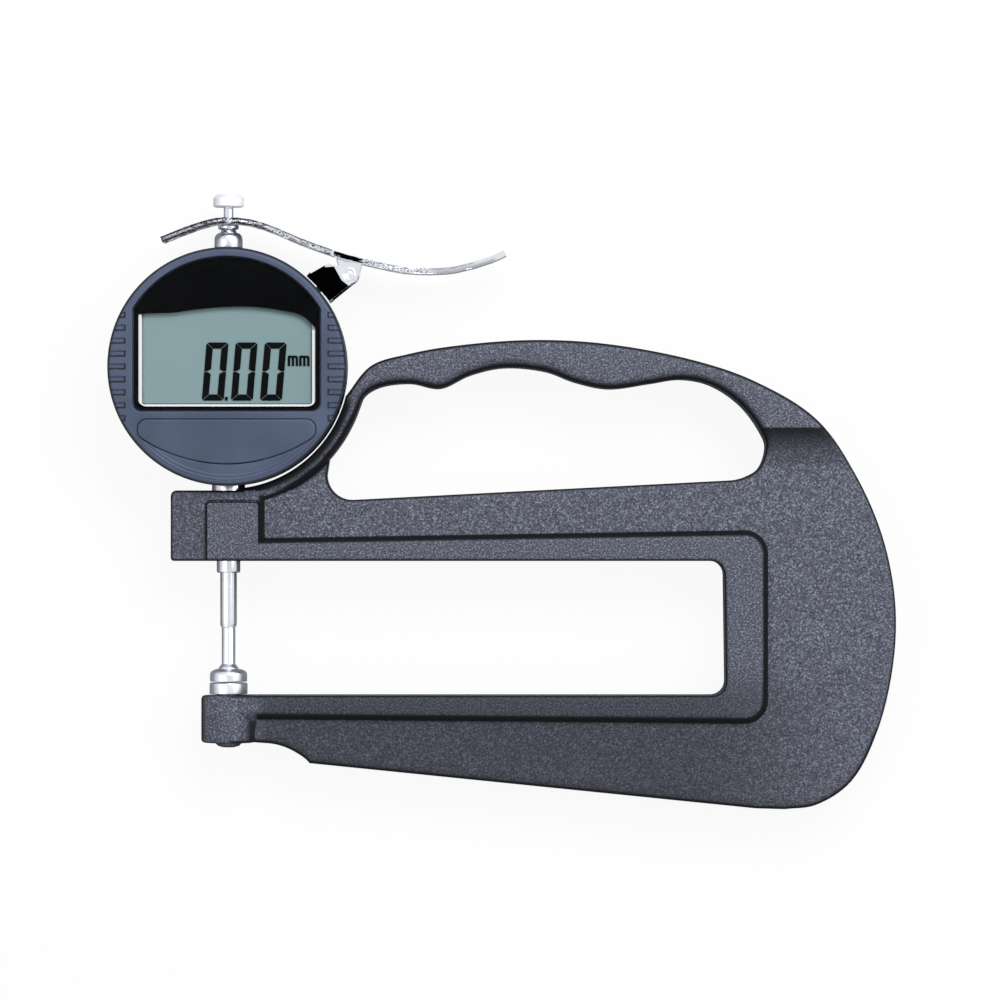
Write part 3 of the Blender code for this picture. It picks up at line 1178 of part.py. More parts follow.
def centre_on_floor():
    # Stands the gauge on its flat back, centred over the origin.
    bpy.context.view_layer.update()
    depsgraph = bpy.context.evaluated_depsgraph_get()
    low = Vector((math.inf,) * 3)
    high = Vector((-math.inf,) * 3)
    for obj in parts.objects:
        if obj.type == "EMPTY":
            continue
        evaluated = obj.evaluated_get(depsgraph)
        mesh = evaluated.to_mesh()
        for vertex in mesh.vertices:
            spot = evaluated.matrix_world @ vertex.co
            low = Vector(map(min, low, spot))
            high = Vector(map(max, high, spot))
        evaluated.to_mesh_clear()
    gauge.location = (-(low.x + high.x) / 2, -(low.y + high.y) / 2, -low.z)


frame_casting()
anvil()
stem_clamp_screw()
front_housing()
rear_cover()
cover_screws()
battery_parts()
display_parts()
circuit_board()
key_parts()
stem_and_bushes()
spindle_parts()
carrier_parts()
return_spring()
lifting_lever()
lever_bracket()
bracket_screws()
pivot_parts()
centre_on_floor()
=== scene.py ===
# Looks of the digital thickness gauge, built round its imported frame.
# Plans are drawn in millimetres from the spindle's axis and the anvil's face, with Y up the spindle.

import math

import bmesh
import bpy
import numpy as np
from mathutils import Matrix, Vector
from mathutils.geometry import delaunay_2d_cdt
from mathutils.kdtree import KDTree


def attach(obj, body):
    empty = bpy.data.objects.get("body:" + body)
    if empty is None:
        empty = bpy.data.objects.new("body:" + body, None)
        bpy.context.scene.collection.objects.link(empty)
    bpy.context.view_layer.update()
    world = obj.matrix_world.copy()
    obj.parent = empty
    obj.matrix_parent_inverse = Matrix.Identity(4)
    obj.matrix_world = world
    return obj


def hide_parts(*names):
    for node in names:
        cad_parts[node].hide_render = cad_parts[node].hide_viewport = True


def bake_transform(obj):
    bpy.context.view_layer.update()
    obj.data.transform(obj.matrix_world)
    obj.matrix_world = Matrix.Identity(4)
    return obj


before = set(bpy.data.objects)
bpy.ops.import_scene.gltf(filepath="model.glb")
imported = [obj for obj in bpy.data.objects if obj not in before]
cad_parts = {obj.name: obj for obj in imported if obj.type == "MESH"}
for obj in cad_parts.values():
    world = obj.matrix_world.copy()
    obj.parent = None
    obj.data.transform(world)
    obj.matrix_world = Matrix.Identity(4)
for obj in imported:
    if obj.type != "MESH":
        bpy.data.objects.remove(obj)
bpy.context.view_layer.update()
print("frame loaded:", len(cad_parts), "nodes")

mm = 0.001
toRow = np.array((-66.3, -43.75, 9.0))  # from the drawing's datum to the frame's own, in millimetres
caseY = 76.3
caseRadius = 28.7
pivot = (29.396, 98.5)


# Shader maths

class Wire:  # one socket, so that sums of sockets add their own Math nodes
    def __init__(self, tree, socket=None):
        self.tree = tree
        self.socket = socket

    def node(self, kind, settings=None, sockets=None, out=0):
        made = self.tree.nodes.new(kind)
        for key, value in (settings or {}).items():
            if key == "stops":
                ramp = made.color_ramp
                while len(ramp.elements) < len(value):
                    ramp.elements.new(0.5)
                for element, (place, colour) in zip(ramp.elements, value):
                    element.position = place
                    element.color = (*colour, 1.0) if len(colour) == 3 else colour
            else:
                setattr(made, key, value)
        for key, value in (sockets or {}).items():
            if isinstance(value, Wire):
                self.tree.links.new(value.socket, made.inputs[key])
            else:
                made.inputs[key].default_value = value
        return Wire(self.tree, made.outputs[out])

    def maths(self, operation, first, second=0.0):
        return self.node("ShaderNodeMath", {"operation": operation}, {0: first, 1: second})

    def __add__(self, other):
        return self.maths("ADD", self, other)

    def __radd__(self, other):
        return self.maths("ADD", other, self)

    def __sub__(self, other):
        return self.maths("SUBTRACT", self, other)

    def __rsub__(self, other):
        return self.maths("SUBTRACT", other, self)

    def __mul__(self, other):
        return self.maths("MULTIPLY", self, other)

    def __rmul__(self, other):
        return self.maths("MULTIPLY", other, self)

    def eased(self, low, high):  # 0 at low, 1 at high, smooth between
        return self.node("ShaderNodeMapRange", {"interpolation_type": "SMOOTHSTEP"},
                         {"Value": self, "From Min": low, "From Max": high})

    def blend(self, first, second):  # colour first where this is 0, second where it is 1
        return self.node("ShaderNodeMix", {"data_type": "RGBA"}, {"Factor": self, 6: first, 7: second}, 2)


def linear(red, green, blue):  # screen colour to shader colour
    shares = [channel / 255 for channel in (red, green, blue)]
    return tuple(s / 12.92 if s <= 0.04045 else ((s + 0.055) / 1.055) ** 2.4 for s in shares) + (1.0,)


def newFinish(name, fixed, varied):
    # fixed holds numbers for the shader's own sockets, varied a function that returns its linked ones
    made = bpy.data.materials.new(name)
    made.use_nodes = True
    shader = made.node_tree.nodes["Principled BSDF"]
    for key, value in fixed.items():
        shader.inputs[key].default_value = value
    start = Wire(made.node_tree)
    spot = start.node("ShaderNodeTexCoord", out="Object")
    for key, wire in varied(start, spot).items():
        made.node_tree.links.new(wire.socket, shader.inputs[key])
    return made


def noise(start, spot, scale, detail=2.0, roughness=0.5):
    return start.node("ShaderNodeTexNoise", {"noise_dimensions": "3D"},
                      {"Vector": spot, "Scale": scale, "Detail": detail, "Roughness": roughness})


def bump(start, height, distance, strength=1.0):
    return start.node("ShaderNodeBump", {}, {"Height": height, "Distance": distance, "Strength": strength})


# Finishes

# edge is the near-black that the casting's painted shade blends its face towards
coat = {"face": linear(83, 86, 98), "speck": linear(140, 145, 162), "pit": linear(50, 52, 62),
        "edge": linear(15, 16, 20), "grain": 0.42 * mm}


def coatLook(start, spot):
    shade = start.node("ShaderNodeAttribute", {"attribute_name": "shade"}, out="Fac")
    grain = noise(start, spot, 1 / coat["grain"], 2.0, 0.55)
    light = grain.eased(0.50, 0.72)
    dark = grain.eased(0.49, 0.30)
    face = light.blend(dark.blend(coat["face"], coat["pit"]), coat["speck"])
    # painted shade: the shade attribute blends the face towards the edge colour
    colour = (shade + 0.22 * (grain - 0.5)).eased(0.05, 0.95).blend(face, coat["edge"])
    return {"Base Color": colour, "Roughness": 0.58 + 0.24 * grain,
            "Normal": bump(start, grain, 0.16 * mm, 0.8)}


castingCoat = newFinish("castingCoat", {"IOR": 1.25}, coatLook)


def mouldingLook(base, low, grainSize=0.35 * mm):
    def look(start, spot):
        steep = start.node("ShaderNodeAttribute", {"attribute_name": "shade"}, out="Fac")
        cloud = noise(start, spot, 60.0, 3.0)
        grain = noise(start, spot, 0.6 / grainSize, 2.0)
        face = cloud.eased(0.30, 0.70).blend(linear(*low), linear(*base))
        # painted shade: the shade attribute blends towards a darker copy of the low colour
        colour = steep.eased(0.10, 0.75).blend(face, linear(*[channel * 0.45 for channel in low]))
        return {"Base Color": colour, "Roughness": 0.30 + 0.12 * cloud,
                "Normal": bump(start, grain, 0.012 * mm, 0.35)}
    return look


caseMoulding = newFinish("caseMoulding", {"Specular IOR Level": 0.22},
                         mouldingLook((80, 90, 113), (69, 79, 100)))
keyMoulding = newFinish("keyMoulding", {"Specular IOR Level": 0.22},
                        mouldingLook((77, 87, 108), (68, 78, 98)))


def metalLook(base, shade, rough, spread, streak, grainDepth=0.2):
    def look(start, spot):
        cloud = noise(start, spot, 140.0, 3.0)
        long = start.node("ShaderNodeMapping", {}, {"Vector": spot, "Scale": streak})
        grain = noise(start, long, 900.0, 2.0)
        return {"Base Color": cloud.eased(0.25, 0.75).blend(linear(*shade), linear(*base)),
                "Roughness": rough + spread * grain, "Normal": bump(start, grain, 0.002 * mm, grainDepth)}
    return look


aroundSpindle = (1.0, 0.02, 1.0)
evenly = (1.0, 1.0, 1.0)


def metal(name, light, dark, rough, spread, streak=aroundSpindle, grainDepth=0.2, metallic=1.0):
    return newFinish(name, {"Metallic": metallic}, metalLook(light, dark, rough, spread, streak, grainDepth))


plating = metal("plating", (226, 229, 235), (203, 206, 214), 0.10, 0.08)
satinPlating = metal("satinPlating", (226, 229, 236), (206, 210, 219), 0.26, 0.10)
mirrorPlating = metal("mirrorPlating", (236, 239, 244), (222, 226, 233), 0.0, 0.004, (0.2, 0.2, 0.2), 0.0)
paleSatin = metal("paleSatin", (246, 248, 252), (238, 241, 247), 0.34, 0.10, metallic=0.3)
darkPlating = metal("darkPlating", (86, 88, 94), (58, 60, 66), 0.24, 0.14)
springSteel = metal("springSteel", (208, 210, 214), (170, 173, 180), 0.18, 0.10)
cellSteel = metal("cellSteel", (204, 206, 210), (176, 178, 184), 0.20, 0.10, evenly)
contactBrass = metal("contactBrass", (206, 172, 108), (178, 144, 84), 0.24, 0.10, evenly)


def leverLook(start, spot):
    # hammered plating: black and bright flecks painted where the sheet is dented, standing in for reflections
    # in the dents, and dark lines painted along its edges as dark reflections
    dented = start.node("ShaderNodeAttribute", {"attribute_name": "dented"}, out="Fac")
    darkReflection = start.node("ShaderNodeAttribute", {"attribute_name": "shade"}, out="Fac")
    flecks = noise(start, spot, 2600.0, 1.0)
    grain = noise(start, spot, 900.0, 2.0)
    pits = flecks.eased(0.52, 0.62) * dented
    lines = darkReflection * (0.50 + flecks)
    dark = pits.maths("MAXIMUM", pits, lines.maths("MINIMUM", lines, 0.97))
    return {"Base Color": dark.blend(linear(228, 232, 240), linear(26, 28, 36)),
            "Roughness": 0.008 + 0.16 * grain * dented}


hammeredPlating = newFinish("hammeredPlating", {"Metallic": 1.0}, leverLook)


def maskLook(start, spot):
    cloud = noise(start, spot, 90.0, 2.0)
    return {"Base Color": cloud.eased(0.3, 0.7).blend(linear(4, 5, 7), linear(7, 8, 10)),
            "Roughness": 0.10 + 0.05 * cloud}


maskInk = newFinish("maskInk", {"Specular IOR Level": 0.10}, maskLook)


def lensLook(start, spot):
    cloud = noise(start, spot, 70.0, 2.0)
    return {"Base Color": cloud.eased(0.2, 0.8).blend(linear(8, 9, 11), linear(16, 18, 20)),
            "Roughness": 0.03 + 0.02 * cloud}


clearWindow = newFinish("clearWindow", {"Alpha": 0.04, "IOR": 1.49, "Specular IOR Level": 0.5}, lensLook)

# crown is a painted shadow on the display, just under the film's arched edge
displayTint = {"left": linear(138, 163, 167), "right": linear(134, 160, 164), "crown": linear(84, 106, 110),
               "crest": (4.0, 14.7), "bow": 3.0, "bowRight": 9.0}  # crest in millimetres from the head's axis


def displayLook(start, spot):
    x = start.node("ShaderNodeSeparateXYZ", {}, {"Vector": spot}, "X")
    y = start.node("ShaderNodeSeparateXYZ", {}, {"Vector": spot}, "Y")
    cloud = noise(start, spot, 45.0, 2.0)
    flat = (x + 0.004 * cloud).eased(-0.090, -0.043).blend(displayTint["left"], displayTint["right"])
    crestX = float((displayTint["crest"][0] + toRow[0]) * mm)
    crestY = float((caseY + displayTint["crest"][1] + toRow[1]) * mm)
    aside = x - crestX
    right = aside.maths("MAXIMUM", aside, 0.0)
    below = crestY - displayTint["bow"] * aside * aside
    below = below - displayTint["bowRight"] * right * right - y
    # painted shadow: darkens to crown just under the film's arch
    return {"Base Color": below.eased(1.1 * mm, -0.2 * mm).blend(flat, displayTint["crown"]),
            "Roughness": 0.22 + 0.06 * cloud}


displayFace = newFinish("displayFace", {"Specular IOR Level": 0.3}, displayLook)


def plainLook(base, low, rough, scale=200.0):
    def look(start, spot):
        cloud = noise(start, spot, scale, 3.0)
        return {"Base Color": cloud.eased(0.3, 0.7).blend(linear(*low), linear(*base)),
                "Roughness": rough + 0.10 * cloud, "Normal": bump(start, cloud, 0.01 * mm, 0.3)}
    return look


digitInk = newFinish("digitInk", {"Specular IOR Level": 0.05}, plainLook((9, 11, 14), (5, 7, 10), 0.35))
bezelWhite = newFinish("bezelWhite", {}, plainLook((236, 240, 243), (226, 231, 235), 0.30))
# a lighter copy of the bezel's white: painted light on the bezel's front
rimWhite = newFinish("rimWhite", {}, plainLook((253, 254, 255), (249, 251, 253), 0.30))
carrierPlastic = newFinish("carrierPlastic", {}, plainLook((34, 36, 40), (24, 26, 30), 0.35))
boardLaminate = newFinish("boardLaminate", {}, plainLook((34, 104, 66), (24, 82, 52), 0.30))
rubberStripe = newFinish("rubberStripe", {}, plainLook((62, 64, 70), (44, 46, 50), 0.60, 900.0))
print("finishes made:", len(bpy.data.materials))


# Plan lines, in millimetres

def arc(centre, radius, start, end, count):
    angles = [math.radians(start + (end - start) * step / count) for step in range(count + 1)]
    return [(centre[0] + radius * math.cos(a), centre[1] + radius * math.sin(a)) for a in angles]


def rounded(corners, steps=6):  # each corner is (x, y, radius)
    line = []
    for index, (x, y, radius) in enumerate(corners):
        here = Vector((x, y))
        if radius <= 0:
            line.append((x, y))
            continue
        before = (Vector(corners[index - 1][:2]) - here).normalized()
        after = (Vector(corners[(index + 1) % len(corners)][:2]) - here).normalized()
        half = before.angle(after) / 2
        centre = here + (before + after).normalized() * radius / math.sin(half)
        first = (here + before * radius / math.tan(half) - centre).normalized()
        last = (here + after * radius / math.tan(half) - centre).normalized()
        line += [(centre + first.slerp(last, step / steps) * radius)[:] for step in range(steps + 1)]
    return line


def smooth(points, steps=8):  # open centripetal spline
    spots = [Vector(point) for point in points]
    spots = [2 * spots[0] - spots[1]] + spots + [2 * spots[-1] - spots[-2]]
    line = []
    for a, b, c, d in zip(spots, spots[1:], spots[2:], spots[3:]):
        t1 = (b - a).length ** 0.5
        t2 = t1 + (c - b).length ** 0.5
        t3 = t2 + (d - c).length ** 0.5
        for step in range(steps):
            t = t1 + (t2 - t1) * step / steps
            ab, bc, cd = a.lerp(b, t / t1), b.lerp(c, (t - t1) / (t2 - t1)), c.lerp(d, (t - t2) / (t3 - t2))
            line.append(ab.lerp(bc, t / t2).lerp(bc.lerp(cd, (t - t1) / (t3 - t1)), (t - t1) / (t2 - t1))[:])
    return line + [spots[-2][:]]


def windingSign(line):  # 1 anticlockwise, -1 clockwise
    area = sum(a[0] * b[1] - b[0] * a[1] for a, b in zip(line, line[1:] + line[:1]))
    return 1.0 if area > 0 else -1.0


def filled(line, step, closed=True):  # long stretches get points in between
    ends = line[1:] + line[:1] if closed else line[1:]
    dense = []
    for (x1, y1), (x2, y2) in zip(line, ends):
        count = max(1, math.ceil(math.hypot(x2 - x1, y2 - y1) / step))
        dense += [(x1 + (x2 - x1) * k / count, y1 + (y2 - y1) * k / count) for k in range(count)]
    return dense if closed else dense + [line[-1]]


def onCase(angle, radius):
    return (radius * math.cos(math.radians(angle)), caseY + radius * math.sin(math.radians(angle)))


# Distances on the plan

def away(spots, line, closed=True):
    start = np.array(line)
    end = np.roll(start, -1, 0)
    if not closed:
        start, end = start[:-1], end[:-1]
    along = end - start
    squared = np.maximum((along ** 2).sum(1), 1e-12)
    nearest = np.empty(len(spots))
    for first in range(0, len(spots), 1500):
        gap = spots[first:first + 1500, None, :] - start
        share = np.clip((gap * along).sum(2) / squared, 0, 1)
        gap = gap - share[..., None] * along
        nearest[first:first + 1500] = np.sqrt((gap ** 2).sum(2).min(1))
    return nearest


def within(spots, line):
    start = np.array(line)
    end = np.roll(start, -1, 0)
    inside = np.zeros(len(spots), bool)
    for (x1, y1), (x2, y2) in zip(start, end):
        if y1 == y2:
            continue
        crosses = ((y1 > spots[:, 1]) != (y2 > spots[:, 1]))
        inside ^= crosses & (spots[:, 0] < x1 + (spots[:, 1] - y1) * (x2 - x1) / (y2 - y1))
    return inside


def ease(share):
    share = np.clip(share, 0, 1)
    return share * share * (3 - 2 * share)


def edgeDrop(gap, radius):  # how far a rounded edge has fallen, that near the outline
    short = np.clip(radius - gap, 0, radius)
    return radius - np.sqrt(np.maximum(radius ** 2 - short ** 2, 0))


roundShares = [0.049, 0.191, 0.412, 0.691, 1.0]


def ringDots(line, offsets, closed=True, spacing=0.7):
    # rows of points beside a line; offsets may be a function of the point
    dense = np.array(filled(line, spacing, closed))
    if closed:
        along = np.roll(dense, -1, 0) - np.roll(dense, 1, 0)
    else:
        along = np.gradient(dense, axis=0)
    side = np.column_stack([-along[:, 1], along[:, 0]]) / np.maximum(np.hypot(*along.T), 1e-9)[:, None]
    sizes = offsets(dense) if callable(offsets) else [np.full(len(dense), size) for size in offsets]
    rows = []
    for size in sizes:
        row = dense + side * size[:, None]
        kept = np.abs(away(row, line, closed) - np.abs(size)) < 0.04 * np.abs(size) + 0.01
        rows.append(row[kept])
    return np.vstack(rows)


def gridDots(low, high, pitch):
    across = np.arange(low[0], high[0], pitch)
    upward = np.arange(low[1], high[1], pitch)
    grid = np.array(np.meshgrid(across, upward)).reshape(2, -1).T
    grid[:, 0] += np.where(np.round((grid[:, 1] - low[1]) / pitch) % 2 == 0, 0, pitch / 2)
    return grid


# Meshes

def relief(loops, dots, height, floor=None):
    # A sheet between closed loops, lifted by height and closed by walls; with no floor it is mirrored below.
    spots = [point for loop in loops for point in loop]
    edges = []
    first = 0
    for loop in loops:
        edges += [(first + k, first + (k + 1) % len(loop)) for k in range(len(loop))]
        first += len(loop)
    odd = np.zeros(len(dots), bool)
    for loop in loops:
        odd ^= within(dots, loop)
    dots = dots[odd]
    clear = np.min([away(dots, loop) for loop in loops], axis=0) > 0.015
    spots += [tuple(dot) for dot in dots[clear]]
    flat, _, faces = delaunay_2d_cdt([Vector(spot) for spot in spots], edges, [], 0, 1e-5)[:3]
    flat = np.array([spot[:] for spot in flat])
    faces = np.array([face for face in faces if len(face) == 3])
    middle = flat[faces].mean(1)
    odd = np.zeros(len(middle), bool)
    for loop in loops:
        odd ^= within(middle, loop)
    faces = faces[odd]
    used, faces = np.unique(faces, return_inverse=True)
    flat, faces = flat[used], faces.reshape(-1, 3)
    top = height(flat)
    low = -top if floor is None else np.full(len(flat), float(floor))
    count = len(flat)
    points = np.vstack([np.column_stack([flat, top]), np.column_stack([flat, low])])
    pairs = set()
    for a, b, c in faces.tolist():
        pairs.update(((a, b), (b, c), (c, a)))
    walls = [(a, a + count, b + count, b) for a, b in pairs if (b, a) not in pairs]
    shell = faces.tolist() + (faces[:, ::-1] + count).tolist() + walls
    return points, shell


def lathe(profile, centre=(0.0, 0.0, 0.0), along="Y", steps=48):
    # profile holds (radius, height) pairs, its ends on the axis or joined up
    points, faces = [], []
    closed = profile[0][0] > 0
    rings = []
    for radius, height in profile:
        if radius < 1e-6:
            rings.append([len(points)])
            points.append((0.0, 0.0, height))
            continue
        rings.append(list(range(len(points), len(points) + steps)))
        points += [(radius * math.cos(k * math.tau / steps), radius * math.sin(k * math.tau / steps), height)
                   for k in range(steps)]
    pairs = list(zip(rings, rings[1:])) + ([(rings[-1], rings[0])] if closed else [])
    for first, second in pairs:
        for k in range(steps):
            nextK = (k + 1) % steps
            corners = [first[k % len(first)], first[nextK % len(first)], second[nextK % len(second)],
                       second[k % len(second)]]
            corners = list(dict.fromkeys(corners))
            if len(corners) > 2:
                faces.append(corners)
    turn = {"Z": Matrix.Identity(3), "Y": Matrix.Rotation(-math.pi / 2, 3, "X"),
            "X": Matrix.Rotation(math.pi / 2, 3, "Y")}[along]
    points = [turn @ Vector(point) + Vector(centre) for point in points]
    return np.array([point[:] for point in points]), faces


def joinShells(*shells):
    points, faces, first = [], [], 0
    for shellPoints, shellFaces in shells:
        points.append(np.array(shellPoints))
        faces += [[corner + first for corner in face] for face in shellFaces]
        first += len(shellPoints)
    return np.vstack(points), faces


def turnFacesOut(mesh):
    work = bmesh.new()
    work.from_mesh(mesh)
    bmesh.ops.recalc_face_normals(work, faces=work.faces)
    work.to_mesh(mesh)
    work.free()


def newPiece(name, shell, material, body, replaced=(), sharp=38.0, turnOut=False, shade=None):
    # points come in millimetres from the drawing's datum and go to metres in the frame
    points, faces = shell
    mesh = bpy.data.meshes.new(name)
    mesh.from_pydata(((np.array(points) + toRow) * mm).tolist(), [], [list(face) for face in faces])
    if turnOut:
        turnFacesOut(mesh)
    piece = bpy.data.objects.new(name, mesh)
    bpy.context.scene.collection.objects.link(piece)
    return finishPiece(piece, material, body, replaced, sharp, shade)


def upright(lean):  # 1 on walls, 0 on faces and rounded edges
    return ease((lean - 0.80) / 0.15)


def finishPiece(piece, material, body, replaced=(), sharp=38.0, shade=None):
    mesh = piece.data
    if sharp:
        mesh.validate()
        mesh.shade_smooth()
        mesh.set_sharp_from_angle(angle=math.radians(sharp))
    mesh.materials.clear()
    mesh.materials.append(material)
    count = len(mesh.vertices)
    lean, place = np.zeros(count * 3, np.float32), np.zeros(count * 3, np.float32)
    mesh.vertex_normals.foreach_get("vector", lean)
    mesh.vertices.foreach_get("co", place)
    lean = 1 - np.abs(lean.reshape(-1, 3)[:, 2])
    # painted shade: unless a piece gives its own, rounded edges darken and walls do not
    amount = shade(place.reshape(-1, 3) / mm - toRow, lean) if shade else lean * (1 - upright(lean))
    mesh.attributes.new("shade", "FLOAT", "POINT").data.foreach_set("value", amount.astype(np.float32))
    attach(piece, body)
    if replaced:
        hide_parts(*replaced)
    return piece


# Casting

casting = {"throatDepth": 120.7, "throatTop": 29.5, "throatFloor": -3.0, "throatCorner": 3.4,
           "backReach": 40.6, "web": 4.6, "band": 7.0, "block": 6.3, "handle": 9.0, "handleTop": 82.7,
           "rimInner": 29.4, "rimOuter": 33.2, "rampTop": 61.5, "rampLength": 9.0,
           "rimRampTop": 56.0, "step": 2.4, "stepBelow": 0.6, "postRadius": 6.6, "postFoot": -14.5}


def alongHandle(spots):
    reach = casting["throatDepth"] - casting["rimOuter"]
    return [(casting["rimOuter"] + share * reach, casting["handleTop"] - drop) for share, drop in spots]


def castingLoops():
    size = casting
    depth, top, back, corner = size["throatDepth"], size["handleTop"], size["backReach"], size["throatCorner"]
    crown = [onCase(-14.1, casting["rimInner"])] + alongHandle(
        [(0.0165, 6.2), (0.1227, 3.3), (0.2469, 1.4), (0.4551, 0.0), (0.6620, 0.9), (0.9103, 5.0)])
    shoulder = [(depth + 6.7, top - 10.1), (depth + 21.2, top - 19.1), (depth + 31.6, top - 33.8)]
    heel = [(depth + share * back, y) for share, y in
            [(0.946, 31.5), (0.9992, 12.6), (0.909, -9.2), (0.736, -23.7), (0.522, -29.5), (0.34, -30.5)]]
    nose = [(19.7, -19.4), (18.5, -18.2), (14.9, -16.0), (11.3, -14.8), (7.0, -14.4)]
    outer = rounded([(3.6, 46.5, 0.0), (-13.7, 46.5, 1.4), (-13.7, size["throatTop"], 0.8),
                     (depth - 1.0, size["throatTop"], corner), (depth - 0.55, size["throatFloor"], corner),
                     (1.0, size["throatFloor"], 0.0)])
    outer += [(1.0, -14.0)] + smooth(nose[::-1], 4) + [(depth + 6.7, -30.3)]
    outer += smooth(crown + shoulder + heel)[::-1]
    outer += arc((0.0, caseY), casting["rimInner"], -16.0, -82.0, 30)
    grip = [onCase(-17.6, casting["rimOuter"])] + alongHandle(
        [(-0.0029, 13.5), (0.0399, 11.3), (0.1227, 10.4), (0.2055, 11.6), (0.2882, 8.4), (0.3793, 6.6),
         (0.4965, 7.5), (0.5779, 10.1), (0.6703, 11.7), (0.7862, 10.4), (0.8690, 9.4), (0.9518, 10.8)])
    grip += [(depth + 3.1, top - 15.7), (depth + 7.9, top - 22.2), (depth + 9.1, top - 25.6),
             (depth + 7.4, 51.8), (depth + 4.3, 49.8), (depth + 1.7, 49.05), (depth, 48.9)]
    meet = onCase(-42.4, casting["rimOuter"])
    foot = rounded([(depth, 48.9, 0.0), (meet[0] - 0.6, 43.9, 6.0), (meet[0] - 0.6, meet[1], 0.0)], 10)
    hole = smooth(grip) + foot[1:-1]
    hole += arc((0.0, caseY), casting["rimOuter"], -42.4, -19.0, 12)
    return filled(outer, 0.8), filled(hole, 0.8)


outerLoop, holeLoop = castingLoops()
bandLine = rounded([(1.0, -8.5, 0.0), (130.2, -9.7, 5.5), (130.2, 36.85, 5.5), (3.0, 34.8, 0.0)], 10)
bandLine = filled(bandLine, 0.8, False)
bandLoop = bandLine + [(3.0, 29.0), (110.0, 29.0), (110.0, -2.0), (1.0, -2.0)]
bossLine = rounded([(7.6, 31.0, 0.0), (7.6, 43.7, 0.9), (-5.0, 43.7, 0.9), (-5.0, 29.5, 0.0)])
bossLine = filled(bossLine, 0.6, False)
bossLoop = bossLine + [(-5.0, 29.0), (7.6, 29.0)]


def outerRound(spots):
    x, y = spots.T
    throat = (y > -4.5) & (y < 31.0) & (x < 125.0)
    block = (x < 5.0) & (y > 28.0)
    rim = (x < 30.0) & (y > 46.6)
    belly = 1.3 + 0.9 * ease((-10.0 - y) / 4.0)
    return np.where(rim, 1.9, np.where(throat | block, 1.0, np.where(y > 60, 1.7, belly)))


def holeRound(spots):
    x, y = spots.T
    grip = 1.6 * ease((y - 52.0) / 10.0) * ease((x - 32.0) / 6.0)
    byRim = 0.9 * ease((40.0 - x) / 6.0) * ease((y - 50.0) / 6.0)
    return 1.0 + grip + byRim


def castingHeight(spots):
    x, y = spots.T
    size = casting
    line = away(spots, bandLine, False)
    line = np.where(within(spots, bandLoop), line, -line)
    # the step bends over more slowly on the lower arm
    step = size["step"] + size["stepBelow"] * ease((4.0 - y) / 10.0)
    share = 1 - (1 - np.clip((line + 0.1) / step, 0, 1)) ** 3
    low = np.where(y < 10.0, size["band"] - 0.9 * ease((9.0 - x) / 8.0), size["band"])
    band = size["web"] + (low - size["web"]) * share
    line = away(spots, bossLine, False)
    line = np.where(within(spots, bossLoop), line, -line)
    block = size["web"] + (size["block"] - size["web"]) * ease((9.1 - x) / 1.3) * (y > 28.0)
    groove = 0.3 * np.exp(-((line + 0.22) / 0.20) ** 2) * (x < 8.4) * (y > 28.0)
    block = np.where(x < 8.0, block - groove, block)
    proud = size["block"] - groove + 0.7 * ease((line + 0.15) / 0.35)
    boss = np.where((line > -0.3) & (y > 28.0), proud, 0.0)
    fall = (size["rampTop"] - y) * (size["handle"] - size["web"]) / size["rampLength"]
    ramp = np.clip(size["handle"] - fall, size["web"], size["handle"])
    ring = (np.hypot(x, y - caseY) - size["rimInner"]) / (size["rimOuter"] - size["rimInner"])
    bead = np.sqrt(np.clip(1 - np.clip(2 * ring - 1, 0, 1) ** 2, 0, 1))
    fall = (size["rimRampTop"] - y) * (size["handle"] - size["block"]) / size["rampLength"]
    crest = np.clip(size["handle"] - fall, size["block"], size["handle"])
    rim = size["web"] + (crest - size["web"]) * bead
    toGrip = np.maximum(ease((y - 60.0) / 8.0), x > 60.0)
    handle = np.where(y > 40.0, rim + (ramp - rim) * toGrip, size["web"])
    face = np.maximum.reduce([band, block, boss, handle])
    face = face - edgeDrop(away(spots, outerLoop), outerRound(spots))
    return face - edgeDrop(away(spots, holeLoop), holeRound(spots))


def castingDots():
    turn, holeTurn = windingSign(outerLoop), windingSign(holeLoop)
    rows = [ringDots(outerLoop, lambda at: [turn * share * outerRound(at) for share in roundShares]),
            ringDots(holeLoop, lambda at: [-holeTurn * share * holeRound(at) for share in roundShares]),
            ringDots(bandLine, [-2.3, -1.9, -1.6, -1.25, -0.9, -0.55, -0.2, 0.0, 0.25, 0.6], False, 1.0),
            ringDots(bandLine, [2.3, 1.9, 1.6, 1.25, 0.9, 0.55, 0.2, -0.25, -0.6], False, 1.0),
            ringDots(bossLine, [-0.7, -0.5, -0.36, -0.22, -0.1, 0.0, 0.1, 0.2, 0.36, 0.5, 0.7], False, 0.5),
            gridDots((-14.0, -31.0), (162.0, 83.0), 2.2)]
    for radius in np.linspace(casting["rimInner"] + 0.4, casting["rimOuter"] + 0.8, 12):
        rows.append(np.array(arc((0.0, caseY), radius, -86.0, -10.0, 60)))
    for y in (61.9, 61.5, 61.3, 60.6, 59.5, 58.0, 56.5, 55.0, 53.5, 52.5, 52.0):
        rows.append(np.array([(x, y) for x in np.arange(127.0, 158.0, 1.0)]))
    for x in (7.3, 7.65, 7.8, 8.2, 8.5, 8.8, 9.1, 9.4, 9.7):
        rows.append(np.array([(x, y) for y in np.arange(33.0, 47.5, 0.8)]))
    return np.vstack(rows)


